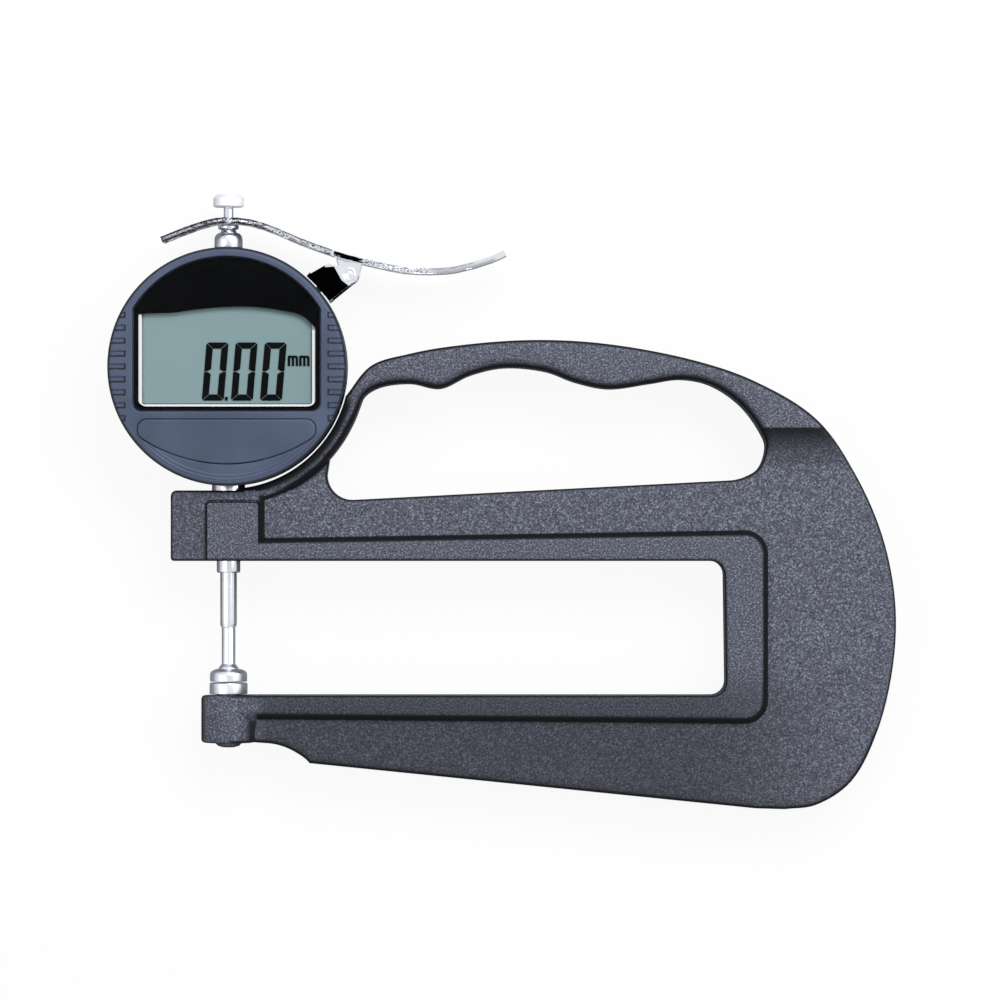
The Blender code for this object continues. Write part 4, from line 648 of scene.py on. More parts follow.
def postProfile():
    radius, top, foot = casting["postRadius"], casting["throatFloor"], casting["postFoot"]
    lower = [(radius - 0.9 + 0.9 * math.sin(math.radians(a)), foot + 0.9 - 0.9 * math.cos(math.radians(a)))
             for a in (90, 60, 30, 0)]
    upper = [(radius - 0.9 + 0.9 * math.cos(math.radians(a)), top - 0.9 + 0.9 * math.sin(math.radians(a)))
             for a in (90, 60, 30, 0)]
    dome = [(3.5, foot), (3.1, foot - 0.25), (2.5, foot - 0.8), (1.4, foot - 1.12), (0.0, foot - 1.2)]
    return [(0.0, top)] + upper + lower + dome


def castingShade(points, lean):
    # painted shade: darker on slopes, along outlines, on the rim's flanks, the ramp and under the grip,
    # beside the anvil's post, on the block's left and towards the lower left of the arm
    x, y, spots = points[:, 0], points[:, 1], points[:, :2]
    onPost = (x < 6.65) & (y < -3.0)
    toOuter, toHole = away(spots, outerLoop), away(spots, holeLoop)
    byEdge = np.minimum(toOuter, toHole) < np.where((y > 52.0) | (y < -13.0), 2.7, 0.9)
    slope = 0.92 * np.where(onPost, ease((lean - 0.25) / 0.6),
                            np.where(byEdge, ease((lean - 0.04) / 0.38), ease((lean - 0.02) / 0.24)))
    buried = (x < 2.6) & (y < -3.6) & (y > -13.9)  # the outline runs on inside the anvil's post
    outline = 0.86 * ease(1 - np.minimum(toOuter, toHole) / 0.95) * ~buried
    ring = (np.hypot(x, y - caseY) - casting["rimInner"]) / (casting["rimOuter"] - casting["rimInner"])
    # painted shade on the rim's flanks, less dark along its crest as a painted highlight
    rim = (0.95 - 0.70 * np.exp(-((ring - 0.60) / 0.17) ** 2)) * ease((1.25 - ring) / 0.25)
    rim *= ease((72.0 - y) / 6.0) * (y > 46.4) * (x < 34.0)
    ramp = 0.86 * np.clip(1 - (casting["rampTop"] - y) / 9.5, 0, 1)
    ramp *= (y < casting["rampTop"] + 0.1) * (x > 118.0)
    grip = 0.78 * ease(1 - toHole / 2.6) * ease((y - 54.0) / 8.0)
    # painted shade down the anvil's post and on the block's left
    post = 0.85 * ease((x - 3.0) / 3.0) * ease((6.75 - x) / 0.1) * ease((-8.0 - y) / 1.5)
    left = 0.8 * ease(1 - (x + 6.6) / 1.9) * (y < 0.0)
    flank = 0.27 * (x < -5.1) * (y > 29.0) * (y < 47.0)
    # painted shade in the groove between the boss and the web
    grooveShade = 0.88 * ease((x - 7.3) / 0.5) * ease((9.2 - x) / 0.8) * (y > 33.9) * ease((46.0 - y) / 1.0)
    # painted shade: darker towards the lower left of the arm
    low = 0.50 * ease((10.0 - y) / 15.0) * ease((176.0 - x) / 66.0) * ease((x - 4.0) / 6.0)
    drawn = np.maximum.reduce([slope, outline, rim, ramp, grip, post, left, flank, grooveShade, low])
    return np.clip(drawn, 0, 1) * (1 - 0.75 * upright(lean) * ~onPost)


castingShell = joinShells(relief([outerLoop, holeLoop], castingDots(), castingHeight),
                          lathe(postProfile(), steps=64))
gaugeFrame = newPiece("gaugeFrame", castingShell, castingCoat, "frame", ["frame_casting"],
                      shade=castingShade)
print("casting:", len(gaugeFrame.data.polygons), "faces")


# Case front

case = {"front": 10.5, "wallBack": 7.9, "back": -7.1, "inner": 27.2, "window": 26.5, "windowHalf": 22.596,
        "windowBottom": -10.80, "corner": 2.0, "ledge": 1.2, "ledgeDepth": 2.0,
        "ribCount": 9, "ribPitch": 3.1, "groove": 1.2, "grooveDepth": 0.42, "ribInner": 24.3,
        "padHalf": 21.396, "padTop": -12.7, "padBottom": -23.39, "padArc": 37.31, "padCorner": 2.21,
        "padProud": 0.4}
caseRings = (0.02, 0.10, 0.22, 0.40, 0.60, 0.85, 1.0, 1.1, 1.2, 1.3, 1.4, 1.6, 1.8, 1.9, 2.0, 2.1, 2.2,
             2.5, 2.6, 2.7, 2.8, 2.9, 3.1)  # rings of points, that far inside the rim


def windowLoop(inset=0.0):
    half, radius, bottom = case["windowHalf"] - inset, case["window"] - inset, case["windowBottom"] + inset
    rise = math.degrees(math.acos(half / radius))
    line = arc((0.0, 0.0), radius, rise, 180.0 - rise, 60)
    line += rounded([line[-1] + (0.0,), (-half, bottom, case["corner"]), (half, bottom, case["corner"]),
                     line[0] + (0.0,)])[1:-1]
    return filled([(x, caseY + y) for x, y in line], 0.8)


def padLoop(grow=0.0):
    radius, reach, top = case["padArc"] + grow, case["padHalf"] + grow, case["padTop"] + grow
    corner, centre = case["padCorner"], case["padBottom"] + case["padArc"]
    swing = math.degrees(math.asin(reach / radius))
    bottom = arc((0.0, centre), radius, -90.0 - swing, -90.0 + swing, 60)
    line = rounded([point + (0.0,) for point in bottom[4:-4]] + [bottom[-1] + (corner,), (reach, top, corner),
                   (-reach, top, corner), bottom[0] + (corner,)])
    return filled([(x, caseY + y) for x, y in line], 0.6)


def ribRows():
    return [(k - (case["ribCount"] - 1) / 2) * case["ribPitch"] for k in range(case["ribCount"])]


def caseHeight(spots):
    x, y = spots[:, 0], spots[:, 1] - caseY
    reach = np.hypot(x, y)
    face = np.full(len(x), case["front"])
    near = np.min([np.abs(y - row) for row in ribRows()], axis=0)
    groove = ease((case["groove"] / 2 + 0.10 - near) / 0.28) * ease((np.abs(x) - case["ribInner"]) / 0.4)
    face -= case["grooveDepth"] * groove * ease((caseRadius + 0.1 - reach) / 0.5)
    for ring, deep in ((25.9, 0.09), (26.7, 0.13), (27.5, 0.15)):
        face -= deep * np.exp(-((reach - ring) / 0.13) ** 2) * ease((-14.5 - y) / 2.0)
    edge = np.clip(1.05 - (caseRadius - reach), 0, None)
    face -= edge ** 2 / (edge + 0.35)
    window = away(spots, windowEdge)
    window = np.where(within(spots, windowEdge), window, -window)
    face -= np.where(window < 0, edgeDrop(-window, 0.35), case["ledgeDepth"])
    pad = away(spots, padEdge)
    return face - edgeDrop(pad, 0.30)


windowEdge = windowLoop()
padEdge = padLoop(0.06)
plainCircle = arc((0.0, caseY), caseRadius, 0.0, 359.0, 359)


def caseDots():
    rows = [ringDots(windowEdge, [0.35, 0.26, 0.17, 0.08, 0.02, -0.02, -0.08, -0.17, -0.26, -0.35]),
            ringDots(padEdge, [0.3, 0.2, 0.11, 0.04, -0.04, -0.11, -0.2, -0.3]),
            gridDots((-29.0, caseY - 29.0), (29.0, caseY + 29.0), 1.6)]
    for short in caseRings:
        rows.append(np.array(arc((0.0, caseY), caseRadius - short, 0.0, 359.0, 400)))
    for row in ribRows():
        for offset in (0.0, 0.26, 0.38, 0.48, 0.56, 0.64, 0.72, 0.84, 1.0):
            for side in (-1, 1):
                across = np.concatenate([np.arange(23.9, 25.0, 0.15), np.arange(25.0, 28.7, 0.45)])
                rows.append(np.array([(s * x, caseY + row + side * offset) for x in across for s in (-1, 1)]))
    return np.vstack(rows)


def level(z):
    return lambda spots: np.full(len(spots), float(z))


innerCircle = arc((0.0, caseY), case["inner"], 0.0, 357.0, 119)
noDots = np.zeros((0, 2))


def caseShade(points, lean):
    # painted shade: the ribs' undersides and ends, the rim and the foot of the pad read darker
    x, y, z = points[:, 0], points[:, 1] - caseY, points[:, 2]
    reach = np.hypot(x, y)
    front = z > case["front"] - 1.2
    offset = np.min([np.where(np.abs(y - row) < 1.5, np.abs(y - row + 0.62), 9.0) for row in ribRows()],
                    axis=0)
    beside = np.abs(x) - case["ribInner"]
    under = 0.95 * ease(1 - offset / 0.42) * ease((beside + 0.2) / 0.4) * front
    inRow = np.min([np.abs(y - row) for row in ribRows()], axis=0) < 0.72
    ends = 0.80 * ease(1 - np.abs(beside - 0.1) / 0.40) * inRow * front
    rim = 0.88 * ease((reach - 28.05) / 0.35) * front
    side = (reach > 28.4) & ~front
    toPad = away(points[:, :2], padEdge)
    foot = 0.85 * ease(1 - toPad / 0.35) * ease((9.0 - np.abs(x - 1.0)) / 2.0) * (y < -20.0)
    faint = np.where((beside > -0.4) & front, 0.30, np.where(toPad < 0.6, 0.25, 0.75)) * lean
    return np.maximum.reduce([faint * ~side, under, ends, rim, foot * front])


frontWall = relief([plainCircle, windowLoop(case["ledge"]), padEdge], caseDots(), caseHeight,
                   case["wallBack"])
sideWall = relief([plainCircle, innerCircle], noDots, level(case["wallBack"] + 0.2), case["back"])
caseFront = newPiece("caseFront", joinShells(frontWall, sideWall), caseMoulding, "frame",
                     ["front_housing"], shade=caseShade)
print("case front:", len(caseFront.data.polygons), "faces")


# Key pad

def padHeight(spots):
    y = spots[:, 1] - caseY
    crown = 0.12 * ease((y - case["padBottom"]) / 6.0) * ease((case["padTop"] - y) / 4.0)
    return case["front"] + case["padProud"] - 0.12 + crown - edgeDrop(away(spots, padRim), 0.4)


padRim = padLoop()
padDots = np.vstack([ringDots(padRim, [-0.4, -0.28, -0.16, -0.07, 0.07, 0.16, 0.28, 0.4]),
                     gridDots((-22.0, caseY - 24.0), (22.0, caseY - 12.0), 0.8)])
padFlange = relief([[(x * 0.8, caseY - 18.0 + (y - caseY + 18.0) * 0.92) for x, y in padLoop(1.0)]], noDots,
                   level(7.6), 6.8)
plungers = [lathe([(0.0, 7.0), (1.5, 7.0), (1.5, 5.75), (0.0, 5.75)], (x, caseY - 16.0, 0.0), "Z", 32)
            for x in (-10.0, 10.0)]
# painted shade on the pad's rounded edges
newPiece("keyPad", joinShells(relief([padRim], padDots, padHeight, 7.5), padFlange, *plungers), keyMoulding,
         "key", ["key_pad"], turnOut=True, shade=lambda points, lean: 0.35 * lean)


# Black film behind the window, open over the display

filmArch = [(21.25, 9.2), (20.0, 10.6), (18.6, 11.9), (17.0, 12.7), (14.0, 13.3), (9.0, 14.1), (4.0, 14.4),
            (-2.0, 14.2), (-8.0, 13.6), (-13.0, 12.9), (-18.0, 12.8), (-21.25, 12.6)]
filmView = [(x, caseY + y) for x, y in smooth(filmArch, 6)]
filmView += rounded([filmView[-1] + (0.0,), (-21.25, caseY - 9.9, 1.2), (21.25, caseY - 9.9, 1.2),
                     filmView[0] + (0.0,)])[1:-1]
newPiece("windowFilm", relief([windowLoop(0.3), filled(filmView, 0.8)], noDots, level(8.9), 8.6), maskInk,
         "frame", ["window_mask"])


# Thin white rim between the film and the display, open at the top

whiteRim = {"half": 21.6, "foot": -10.25, "width": 1.05, "corner": 1.5, "leftTop": 12.5, "rightTop": 8.8,
            "low": 8.25, "high": 8.5}


def whiteRimLine():
    half, foot, width, corner = [whiteRim[key] for key in ("half", "foot", "width", "corner")]
    left, right = whiteRim["leftTop"], whiteRim["rightTop"]
    outer = rounded([(-half, left, 0.0), (-half, foot, corner), (half, foot, corner), (half, right, 0.0)])
    inner = rounded([(half - width, right, 0.0), (half - width, foot + width, corner - 0.6),
                     (width - half, foot + width, corner - 0.6), (width - half, left, 0.0)])
    return filled([(x, caseY + y) for x, y in outer + inner], 0.8)


# its white is lighter than the bezel's own: painted light
newPiece("displayRim", relief([whiteRimLine()], noDots, level(whiteRim["high"]), whiteRim["low"]), rimWhite,
         "frame")


# Display digits

digits = {"height": 14.0, "width": 5.3, "stroke": 1.62, "bar": 1.5, "gap": 0.09, "cut": 0.42, "near": 0.10,
          "far": 0.16, "notch": 0.50, "slant": math.tan(math.radians(4.8)), "pitch": 7.0, "count": 3,
          "left": -6.1, "foot": -8.2, "low": 7.62, "high": 7.66}


def segmentPlans():
    # corners are cut, and both strokes end along the mitre
    w, h, s, b, g = [digits[key] for key in ("width", "height", "stroke", "bar", "gap")]
    cut, near, far, notch = [digits[key] for key in ("cut", "near", "far", "notch")]
    middle = h / 2
    across = [(cut + g, h), (w - cut - g, h), (w - g - far * s, h - far * b), (w - s - g, h - b),
              (s + g, h - b), (g + far * s, h - far * b)]
    down = [(near * s, h - near * b - g), (0.0, h - cut - g), (0.0, middle + g), (s * 0.5, middle + g),
            (s, middle + g + notch), (s, h - b - g)]
    plans = [across, [(x, h - y) for x, y in across], down, [(x, h - y) for x, y in down]]
    plans += [[(w - x, y) for x, y in plan] for plan in plans[2:4]]
    return [[(x + digits["slant"] * y, y) for x, y in plan] for plan in plans]


def slab(plan, low, high):
    plan = plan if windingSign(plan) > 0 else plan[::-1]
    count = len(plan)
    points = [(x, y, high) for x, y in plan] + [(x, y, low) for x, y in plan]
    faces = [list(range(count)), list(range(2 * count - 1, count - 1, -1))]
    faces += [(k, k + count, (k + 1) % count + count, (k + 1) % count) for k in range(count)]
    return np.array(points), faces


def newTree(name, inputs):
    # an empty geometry tree and its named inputs as wires
    tree = bpy.data.node_groups.new(name, "GeometryNodeTree")
    tree.interface.new_socket("Geometry", in_out="OUTPUT", socket_type="NodeSocketGeometry")
    for label, kind in (("Geometry", "Geometry"),) + inputs:
        tree.interface.new_socket(label, in_out="INPUT", socket_type="NodeSocket" + kind)
    start = tree.nodes.new("NodeGroupInput")
    return tree, {socket.name: Wire(tree, socket) for socket in start.outputs if socket.name}


def endTree(tree, shape, finish):
    solid = shape.node("GeometryNodeRealizeInstances", {}, {"Geometry": shape})
    painted = shape.node("GeometryNodeSetMaterial", {}, {"Geometry": solid, "Material": finish})
    tree.links.new(painted.socket, tree.nodes.new("NodeGroupOutput").inputs[0])


def rowOfCopies():
    # copies of a seed shape along a row
    tree, given = newTree("rowOfCopies", (("Seed", "Object"), ("Count", "Int"), ("Pitch", "Float"),
                                          ("Start", "Vector"), ("Finish", "Material")))
    seed = given["Seed"].node("GeometryNodeObjectInfo", {}, {"Object": given["Seed"]}, "Geometry")
    step = seed.node("ShaderNodeCombineXYZ", {}, {"X": given["Pitch"]})
    row = seed.node("GeometryNodeMeshLine", {}, {"Count": given["Count"], "Start Location": given["Start"],
                                                 "Offset": step})
    copies = seed.node("GeometryNodeInstanceOnPoints", {}, {"Points": row, "Instance": seed})
    endTree(tree, copies, given["Finish"])
    return tree


def copiesOnSpots():
    # copies of a seed shape on another object's points
    tree, given = newTree("copiesOnSpots", (("Seed", "Object"), ("Spots", "Object"), ("Finish", "Material")))
    seed = given["Seed"].node("GeometryNodeObjectInfo", {}, {"Object": given["Seed"]}, "Geometry")
    spots = seed.node("GeometryNodeObjectInfo", {}, {"Object": given["Spots"]}, "Geometry")
    copies = seed.node("GeometryNodeInstanceOnPoints", {}, {"Points": spots, "Instance": seed})
    endTree(tree, copies, given["Finish"])
    return tree


def turnedShape():
    # spins a profile: a grid's columns become angles, its rows the profile's own points
    tree, given = newTree("turnedShape", (("Profile", "Object"), ("Points", "Int"), ("Steps", "Int"),
                                          ("Axis", "Vector"), ("Finish", "Material")))
    line = given["Profile"].node("GeometryNodeObjectInfo", {}, {"Object": given["Profile"]}, "Geometry")
    grid = line.node("GeometryNodeMeshGrid", {}, {"Size X": 1.0, "Size Y": 1.0, "Vertices X": given["Steps"],
                                                  "Vertices Y": given["Points"]})
    place = line.node("GeometryNodeInputPosition")
    across = line.node("ShaderNodeSeparateXYZ", {}, {"Vector": place}, "X")
    down = line.node("ShaderNodeSeparateXYZ", {}, {"Vector": place}, "Y")
    row = (down + 0.5) * (given["Points"] - 1.0) + 0.25
    spot = line.node("GeometryNodeSampleIndex", {"data_type": "FLOAT_VECTOR"},
                     {"Geometry": line, "Value": place, "Index": row.maths("FLOOR", row)})
    radius = line.node("ShaderNodeSeparateXYZ", {}, {"Vector": spot}, "X")
    height = line.node("ShaderNodeSeparateXYZ", {}, {"Vector": spot}, "Y")
    angle = math.tau * (across + 0.5)
    ring = line.node("ShaderNodeCombineXYZ", {}, {"X": radius * angle.maths("COSINE", angle), "Y": height,
                                                  "Z": radius * angle.maths("SINE", angle)})
    moved = line.node("ShaderNodeVectorMath", {"operation": "ADD"}, {0: ring, 1: given["Axis"]})
    spun = line.node("GeometryNodeSetPosition", {}, {"Geometry": grid, "Position": moved})
    closed = line.node("GeometryNodeMergeByDistance", {}, {"Geometry": spun, "Distance": 0.002 * mm})
    endTree(tree, closed, given["Finish"])
    return tree


def hammeredSheet():
    # small dents beaten into a sheet, strong on the left, none over the pivot, weaker and fading on the right
    tree, given = newTree("hammeredSheet", (
        ("Level", "Int"), ("Depth", "Float"), ("Dents Per Metre", "Float"), ("Thin From", "Float"),
        ("Thin To", "Float"), ("Thin Share", "Float"), ("Calm From", "Float"), ("Calm To", "Float"),
        ("Fade From", "Float"), ("Fade To", "Float"), ("Right Share", "Float"), ("Finish", "Material")))
    fine = given["Level"].node("GeometryNodeSubdivideMesh", {}, {"Mesh": given["Geometry"],
                                                                 "Level": given["Level"]})
    place = fine.node("GeometryNodeInputPosition")
    out = fine.node("GeometryNodeInputNormal")
    dents = fine.node("ShaderNodeTexNoise", {}, {"Vector": place, "Scale": given["Dents Per Metre"],
                                                 "Detail": 1.0})
    x = fine.node("ShaderNodeSeparateXYZ", {}, {"Vector": place}, "X")
    left = fine.node("ShaderNodeMath", {"operation": "LESS_THAN"}, {0: x, 1: given["Calm From"]})
    beyond = fine.node("ShaderNodeMath", {"operation": "GREATER_THAN"}, {0: x, 1: given["Calm To"]})
    fading = fine.node("ShaderNodeMapRange", {}, {"Value": x, "From Min": given["Fade To"],
                                                  "From Max": given["Fade From"]})
    thinning = fine.node("ShaderNodeMapRange", {}, {"Value": x, "From Min": given["Thin From"],
                                                    "From Max": given["Thin To"], "To Min": 1.0,
                                                    "To Max": given["Thin Share"]})
    amount = left * thinning + beyond * fading * given["Right Share"]
    offset = fine.node("ShaderNodeVectorMath", {"operation": "SCALE"},
                       {"Vector": out, "Scale": (dents - 0.5) * given["Depth"] * amount})
    beaten = fine.node("GeometryNodeSetPosition", {}, {"Geometry": fine, "Offset": offset})
    facing = fine.node("ShaderNodeSeparateXYZ", {}, {"Vector": out}, "Z")
    facing = facing.maths("ABSOLUTE", facing)
    # dented also marks where black flecks are painted, as dark reflections in the dents
    marked = fine.node("GeometryNodeStoreNamedAttribute", {"data_type": "FLOAT", "domain": "POINT"},
                       {"Geometry": beaten, "Name": "dented", "Value": amount * (0.15 + 0.85 * facing)})
    endTree(tree, marked, given["Finish"])
    return tree


def coiledWire():
    # a wire wound round the spindle's axis, from its foot upwards
    tree, given = newTree("coiledWire", (
        ("Turns", "Float"), ("Coil Radius", "Float"), ("Wire Radius", "Float"), ("Length", "Float"),
        ("Foot", "Vector"), ("Finish", "Material")))
    wound = given["Turns"].node("GeometryNodeCurveSpiral", {}, {
        "Resolution": 24, "Rotations": given["Turns"], "Start Radius": given["Coil Radius"],
        "End Radius": given["Coil Radius"], "Height": given["Length"]})
    placed = wound.node("GeometryNodeTransform", {}, {"Geometry": wound, "Translation": given["Foot"],
                                                      "Rotation": (-math.pi / 2, 0.0, 0.0)})
    ring = wound.node("GeometryNodeCurvePrimitiveCircle", {}, {"Resolution": 10,
                                                               "Radius": given["Wire Radius"]})
    wire = wound.node("GeometryNodeCurveToMesh", {}, {"Curve": placed, "Profile Curve": ring,
                                                      "Fill Caps": True})
    endTree(tree, wire, given["Finish"])
    return tree


def seedMesh(name, shell):
    points, faces = shell
    mesh = bpy.data.meshes.new(name)
    mesh.from_pydata((np.array(points) * mm).tolist(), [], [list(face) for face in faces])
    seed = bpy.data.objects.new(name, mesh)
    bpy.context.scene.collection.objects.link(seed)
    return seed


def grown(name, tree, values, mesh=None):
    # runs a tree on a mesh, or on an empty one, and keeps its result as a plain mesh
    holder = bpy.data.objects.new(name, mesh or bpy.data.meshes.new(name))
    bpy.context.scene.collection.objects.link(holder)
    modifier = holder.modifiers.new(tree.name, "NODES")
    modifier.node_group = tree
    for item in tree.interface.items_tree:
        if item.in_out == "INPUT" and item.name in values:
            modifier[item.identifier] = values[item.name]
    holder.update_tag()
    bpy.context.view_layer.update()
    result = bpy.data.meshes.new_from_object(holder.evaluated_get(bpy.context.evaluated_depsgraph_get()))
    holder.modifiers.clear()
    holder.data = result
    return holder


def dropSeed(seed):
    bpy.data.objects.remove(seed, do_unlink=True)


segments = [slab(plan, digits["low"], digits["high"]) for plan in segmentPlans()]
zeroSeed = seedMesh("zeroSeed", joinShells(*segments))
firstDigit = Vector((digits["left"] + toRow[0], caseY + digits["foot"] + toRow[1], toRow[2])) * mm
readout = grown("readout", rowOfCopies(), {"Seed": zeroSeed, "Count": digits["count"],
                                           "Pitch": digits["pitch"] * mm, "Start": firstDigit,
                                           "Finish": digitInk})
dropSeed(zeroSeed)
finishPiece(readout, digitInk, "frame")


def letterM(x0, foot, height, stroke, width):
    # small m from one long and two short stems under two arches
    half = (width - stroke) / 2
    arch = height - stroke
    plans = [[(0, 0), (stroke, 0), (stroke, height), (0, height)]]
    for k in (0, 1):
        left = k * half
        outer = arc((left + (half + stroke) / 2, arch), (half + stroke) / 2, 150.0, 0.0, 8)
        inner = arc((left + (half + stroke) / 2, arch), (half - stroke) / 2, 0.0, 150.0, 8)
        plans.append([(x, min(y, height + 0.1)) for x, y in outer + inner])
        right = left + half
        plans.append([(right, 0), (right + stroke, 0), (right + stroke, arch), (right, arch)])
    return [[(x0 + x, foot + y) for x, y in plan] for plan in plans]


unitPlans = letterM(14.6, 0.1, 2.45, 0.60, 2.5) + letterM(17.35, 0.1, 2.45, 0.60, 2.5)
pointPlan = [(-0.55, -8.2), (0.15, -8.2), (0.2, -7.3), (-0.5, -7.3)]
lettering = [slab([(x, caseY + y) for x, y in plan], digits["low"], digits["high"])
             for plan in unitPlans + [pointPlan]]
newPiece("unitMark", joinShells(*lettering), digitInk, "frame", turnOut=True)
print("display:", digits["count"], "digits and the unit")


# Turned metal pieces

def filleted(profile, radius, steps=3):
    # softens every corner of a turned profile that lies off the axis
    soft = []
    for index, (r, z) in enumerate(profile):
        ends = index in (0, len(profile) - 1) and profile[0][0] < 1e-6
        here = Vector((r, z))
        before = Vector(profile[index - 1]) - here
        after = Vector(profile[(index + 1) % len(profile)]) - here
        size = min(radius, before.length * 0.4, after.length * 0.4)
        if ends or r < 1e-6 or size < 0.01:
            soft.append((r, z))
            continue
        a, b = here + before.normalized() * size, here + after.normalized() * size
        for step in range(steps + 1):
            t = step / steps
            soft.append((a * (1 - t) ** 2 + here * 2 * t * (1 - t) + b * t ** 2)[:])
    return soft


turnedPieces = {  # node, body, finish, softened edge, and the profile as (radius, height)
    "anvilPad": ("anvil", "frame", satinPlating, 0.12, [
        (0.0, 0.0), (4.4, 0.0), (4.6, -0.2), (4.6, -2.7), (2.5, -2.7), (2.5, -10.0), (0.0, -10.0)]),
    "contactTip": ("contact_point", "spindle_unit", satinPlating, 0.06, [
        (0.0, 13.4), (1.65, 13.4), (1.65, 4.5), (1.8, 4.35), (2.4, 3.6), (2.4, 3.4), (3.4, 3.15), (4.1, 2.8),
        (4.4, 2.4), (4.5, 1.9), (4.5, 0.5), (4.4, 0.3), (0.0, 0.3)]),
    "spindleRod": ("spindle", "spindle_unit", plating, 0.1, [
        (0.0, 116.8), (1.15, 116.8), (1.15, 109.5), (1.8, 109.5), (1.9, 109.0), (2.0, 108.9), (2.0, 14.1),
        (1.9, 13.9), (1.9, 13.5), (0.0, 13.5)]),
    "stemTube": ("stem", "frame", plating, 0.15, [(4.0, 51.8), (4.0, 30.1), (3.0, 30.1), (3.0, 51.8)]),
    "lowerBush": ("lower_bush", "frame", plating, 0.12, [
        (2.85, 38.6), (2.85, 29.5), (2.85, 26.95), (2.6, 26.6), (2.15, 26.6), (2.15, 38.6)]),
    "upperBush": ("upper_bush", "frame", satinPlating, 0.2, [
        (2.15, 108.8), (2.45, 108.75), (2.9, 108.45), (3.25, 107.95), (3.4, 107.3), (3.4, 105.2),
        (3.0, 105.2), (3.0, 100.4), (2.15, 100.4)]),
    "liftCollar": ("lift_collar", "spindle_unit", plating, 0.15, [
        (2.2, 110.8), (2.5, 110.5), (2.5, 109.9), (2.2, 109.6), (1.3, 109.6), (1.3, 110.8)]),
}
turnTree = turnedShape()
for name, (node, body, finish, soft, corners) in turnedPieces.items():
    profile = filleted(corners, soft)
    profile = profile + profile[:1] if profile[0][0] > 0 else profile
    seed = seedMesh(name + "Profile", ([(radius, height, 0.0) for radius, height in profile], []))
    made = grown(name, turnTree, {"Profile": seed, "Points": len(profile), "Steps": 73,
                                  "Axis": Vector(toRow) * mm, "Finish": finish})
    dropSeed(seed)
    turnFacesOut(made.data)
    finishPiece(made, finish, body, [node])
pinProfile = [(0.0, 6.5), (0.4, 6.55), (0.75, 6.35), (0.95, 6.35), (1.1, 6.6), (1.3, 6.7), (1.5, 6.6),
              (1.6, 6.35), (1.6, 6.1), (1.0, 6.1), (1.0, -6.9), (0.8, -7.1), (0.0, -7.1)]
newPiece("pivotPin", lathe(pinProfile, (*pivot, 0.0), "Z", 48), mirrorPlating, "frame", ["pivot_pin"],
         turnOut=True)
print("turned pieces:", len(turnedPieces) + 1)


# Pieces that keep the frame's shape, with their edges softened

def softCopy(name, node, width, segments=2, dissolve=True, angle=30.0):
    work = bmesh.new()
    work.from_mesh(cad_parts[node].data)
    bmesh.ops.remove_doubles(work, verts=work.verts, dist=1e-6)
    if dissolve:
        bmesh.ops.dissolve_limit(work, angle_limit=math.radians(1.0), verts=work.verts, edges=work.edges)
    mesh = bpy.data.meshes.new(name)
    work.to_mesh(mesh)
    work.free()
    mesh.shade_smooth()
    mesh.set_sharp_from_angle(angle=math.radians(angle))
    piece = bpy.data.objects.new(name, mesh)
    bpy.context.scene.collection.objects.link(piece)
    bevel = piece.modifiers.new("edges", "BEVEL")
    bevel.width = width * mm
    bevel.segments = segments
    bevel.limit_method = "ANGLE"
    bevel.angle_limit = math.radians(angle)
    bevel.use_clamp_overlap = True
    bevel.harden_normals = True
    bpy.context.view_layer.update()
    piece.data = bpy.data.meshes.new_from_object(piece.evaluated_get(bpy.context.evaluated_depsgraph_get()))
    piece.modifiers.clear()
    piece.data.name = name
    return piece


softPieces = {
    "leverBracket": ("lever_bracket", mirrorPlating, "frame", 0.18, "chrome"),
    "spindleCap": ("spindle_cap", paleSatin, "spindle_unit", 0.12, "chrome"),
    "clampScrew": ("stem_clamp_screw", darkPlating, "frame", 0.12, "black_steel"),
    "rearCover": ("rear_cover", caseMoulding, "frame", 0.10, "case_plastic"),
    "batteryDoor": ("battery_cover", caseMoulding, "battery_door", 0.10, "case_plastic")}
for name, (node, finish, body, width, slotName) in softPieces.items():
    finishPiece(softCopy(name, node, width), finish, body, [node], sharp=0)

lever = {"Level": 3, "Depth": 0.30 * mm, "Dents Per Metre": 1400.0, "Thin From": -0.064, "Thin To": -0.046,
         "Thin Share": 0.55, "Calm From": -0.0412, "Calm To": -0.0329,
         "Fade From": -0.020, "Fade To": -0.004, "Right Share": 0.7, "Finish": hammeredPlating}
blank = softCopy("leverBlank", "lifting_lever", 0.25, 3, dissolve=False)
for vertex in blank.data.vertices:  # a little narrower, so that no dent pushes past the frame's own box
    vertex.co.z = 9.0 * mm + (vertex.co.z - 9.0 * mm) * 0.97
liftLever = grown("liftLever", hammeredSheet(), lever, blank.data)
dropSeed(blank)


# dark reflections painted along the strip's edges, as side, start, end, width and strength: under its far
# left end, over the slope, and under the thumb end
darkReflectionLines = ((-1, -17.0, -0.5, 0.75, 1.0), (1, 0.5, 10.0, 0.62, 1.0), (1, 9.0, 25.0, 0.40, 0.85),
             (-1, 49.0, 64.5, 0.95, 0.42))


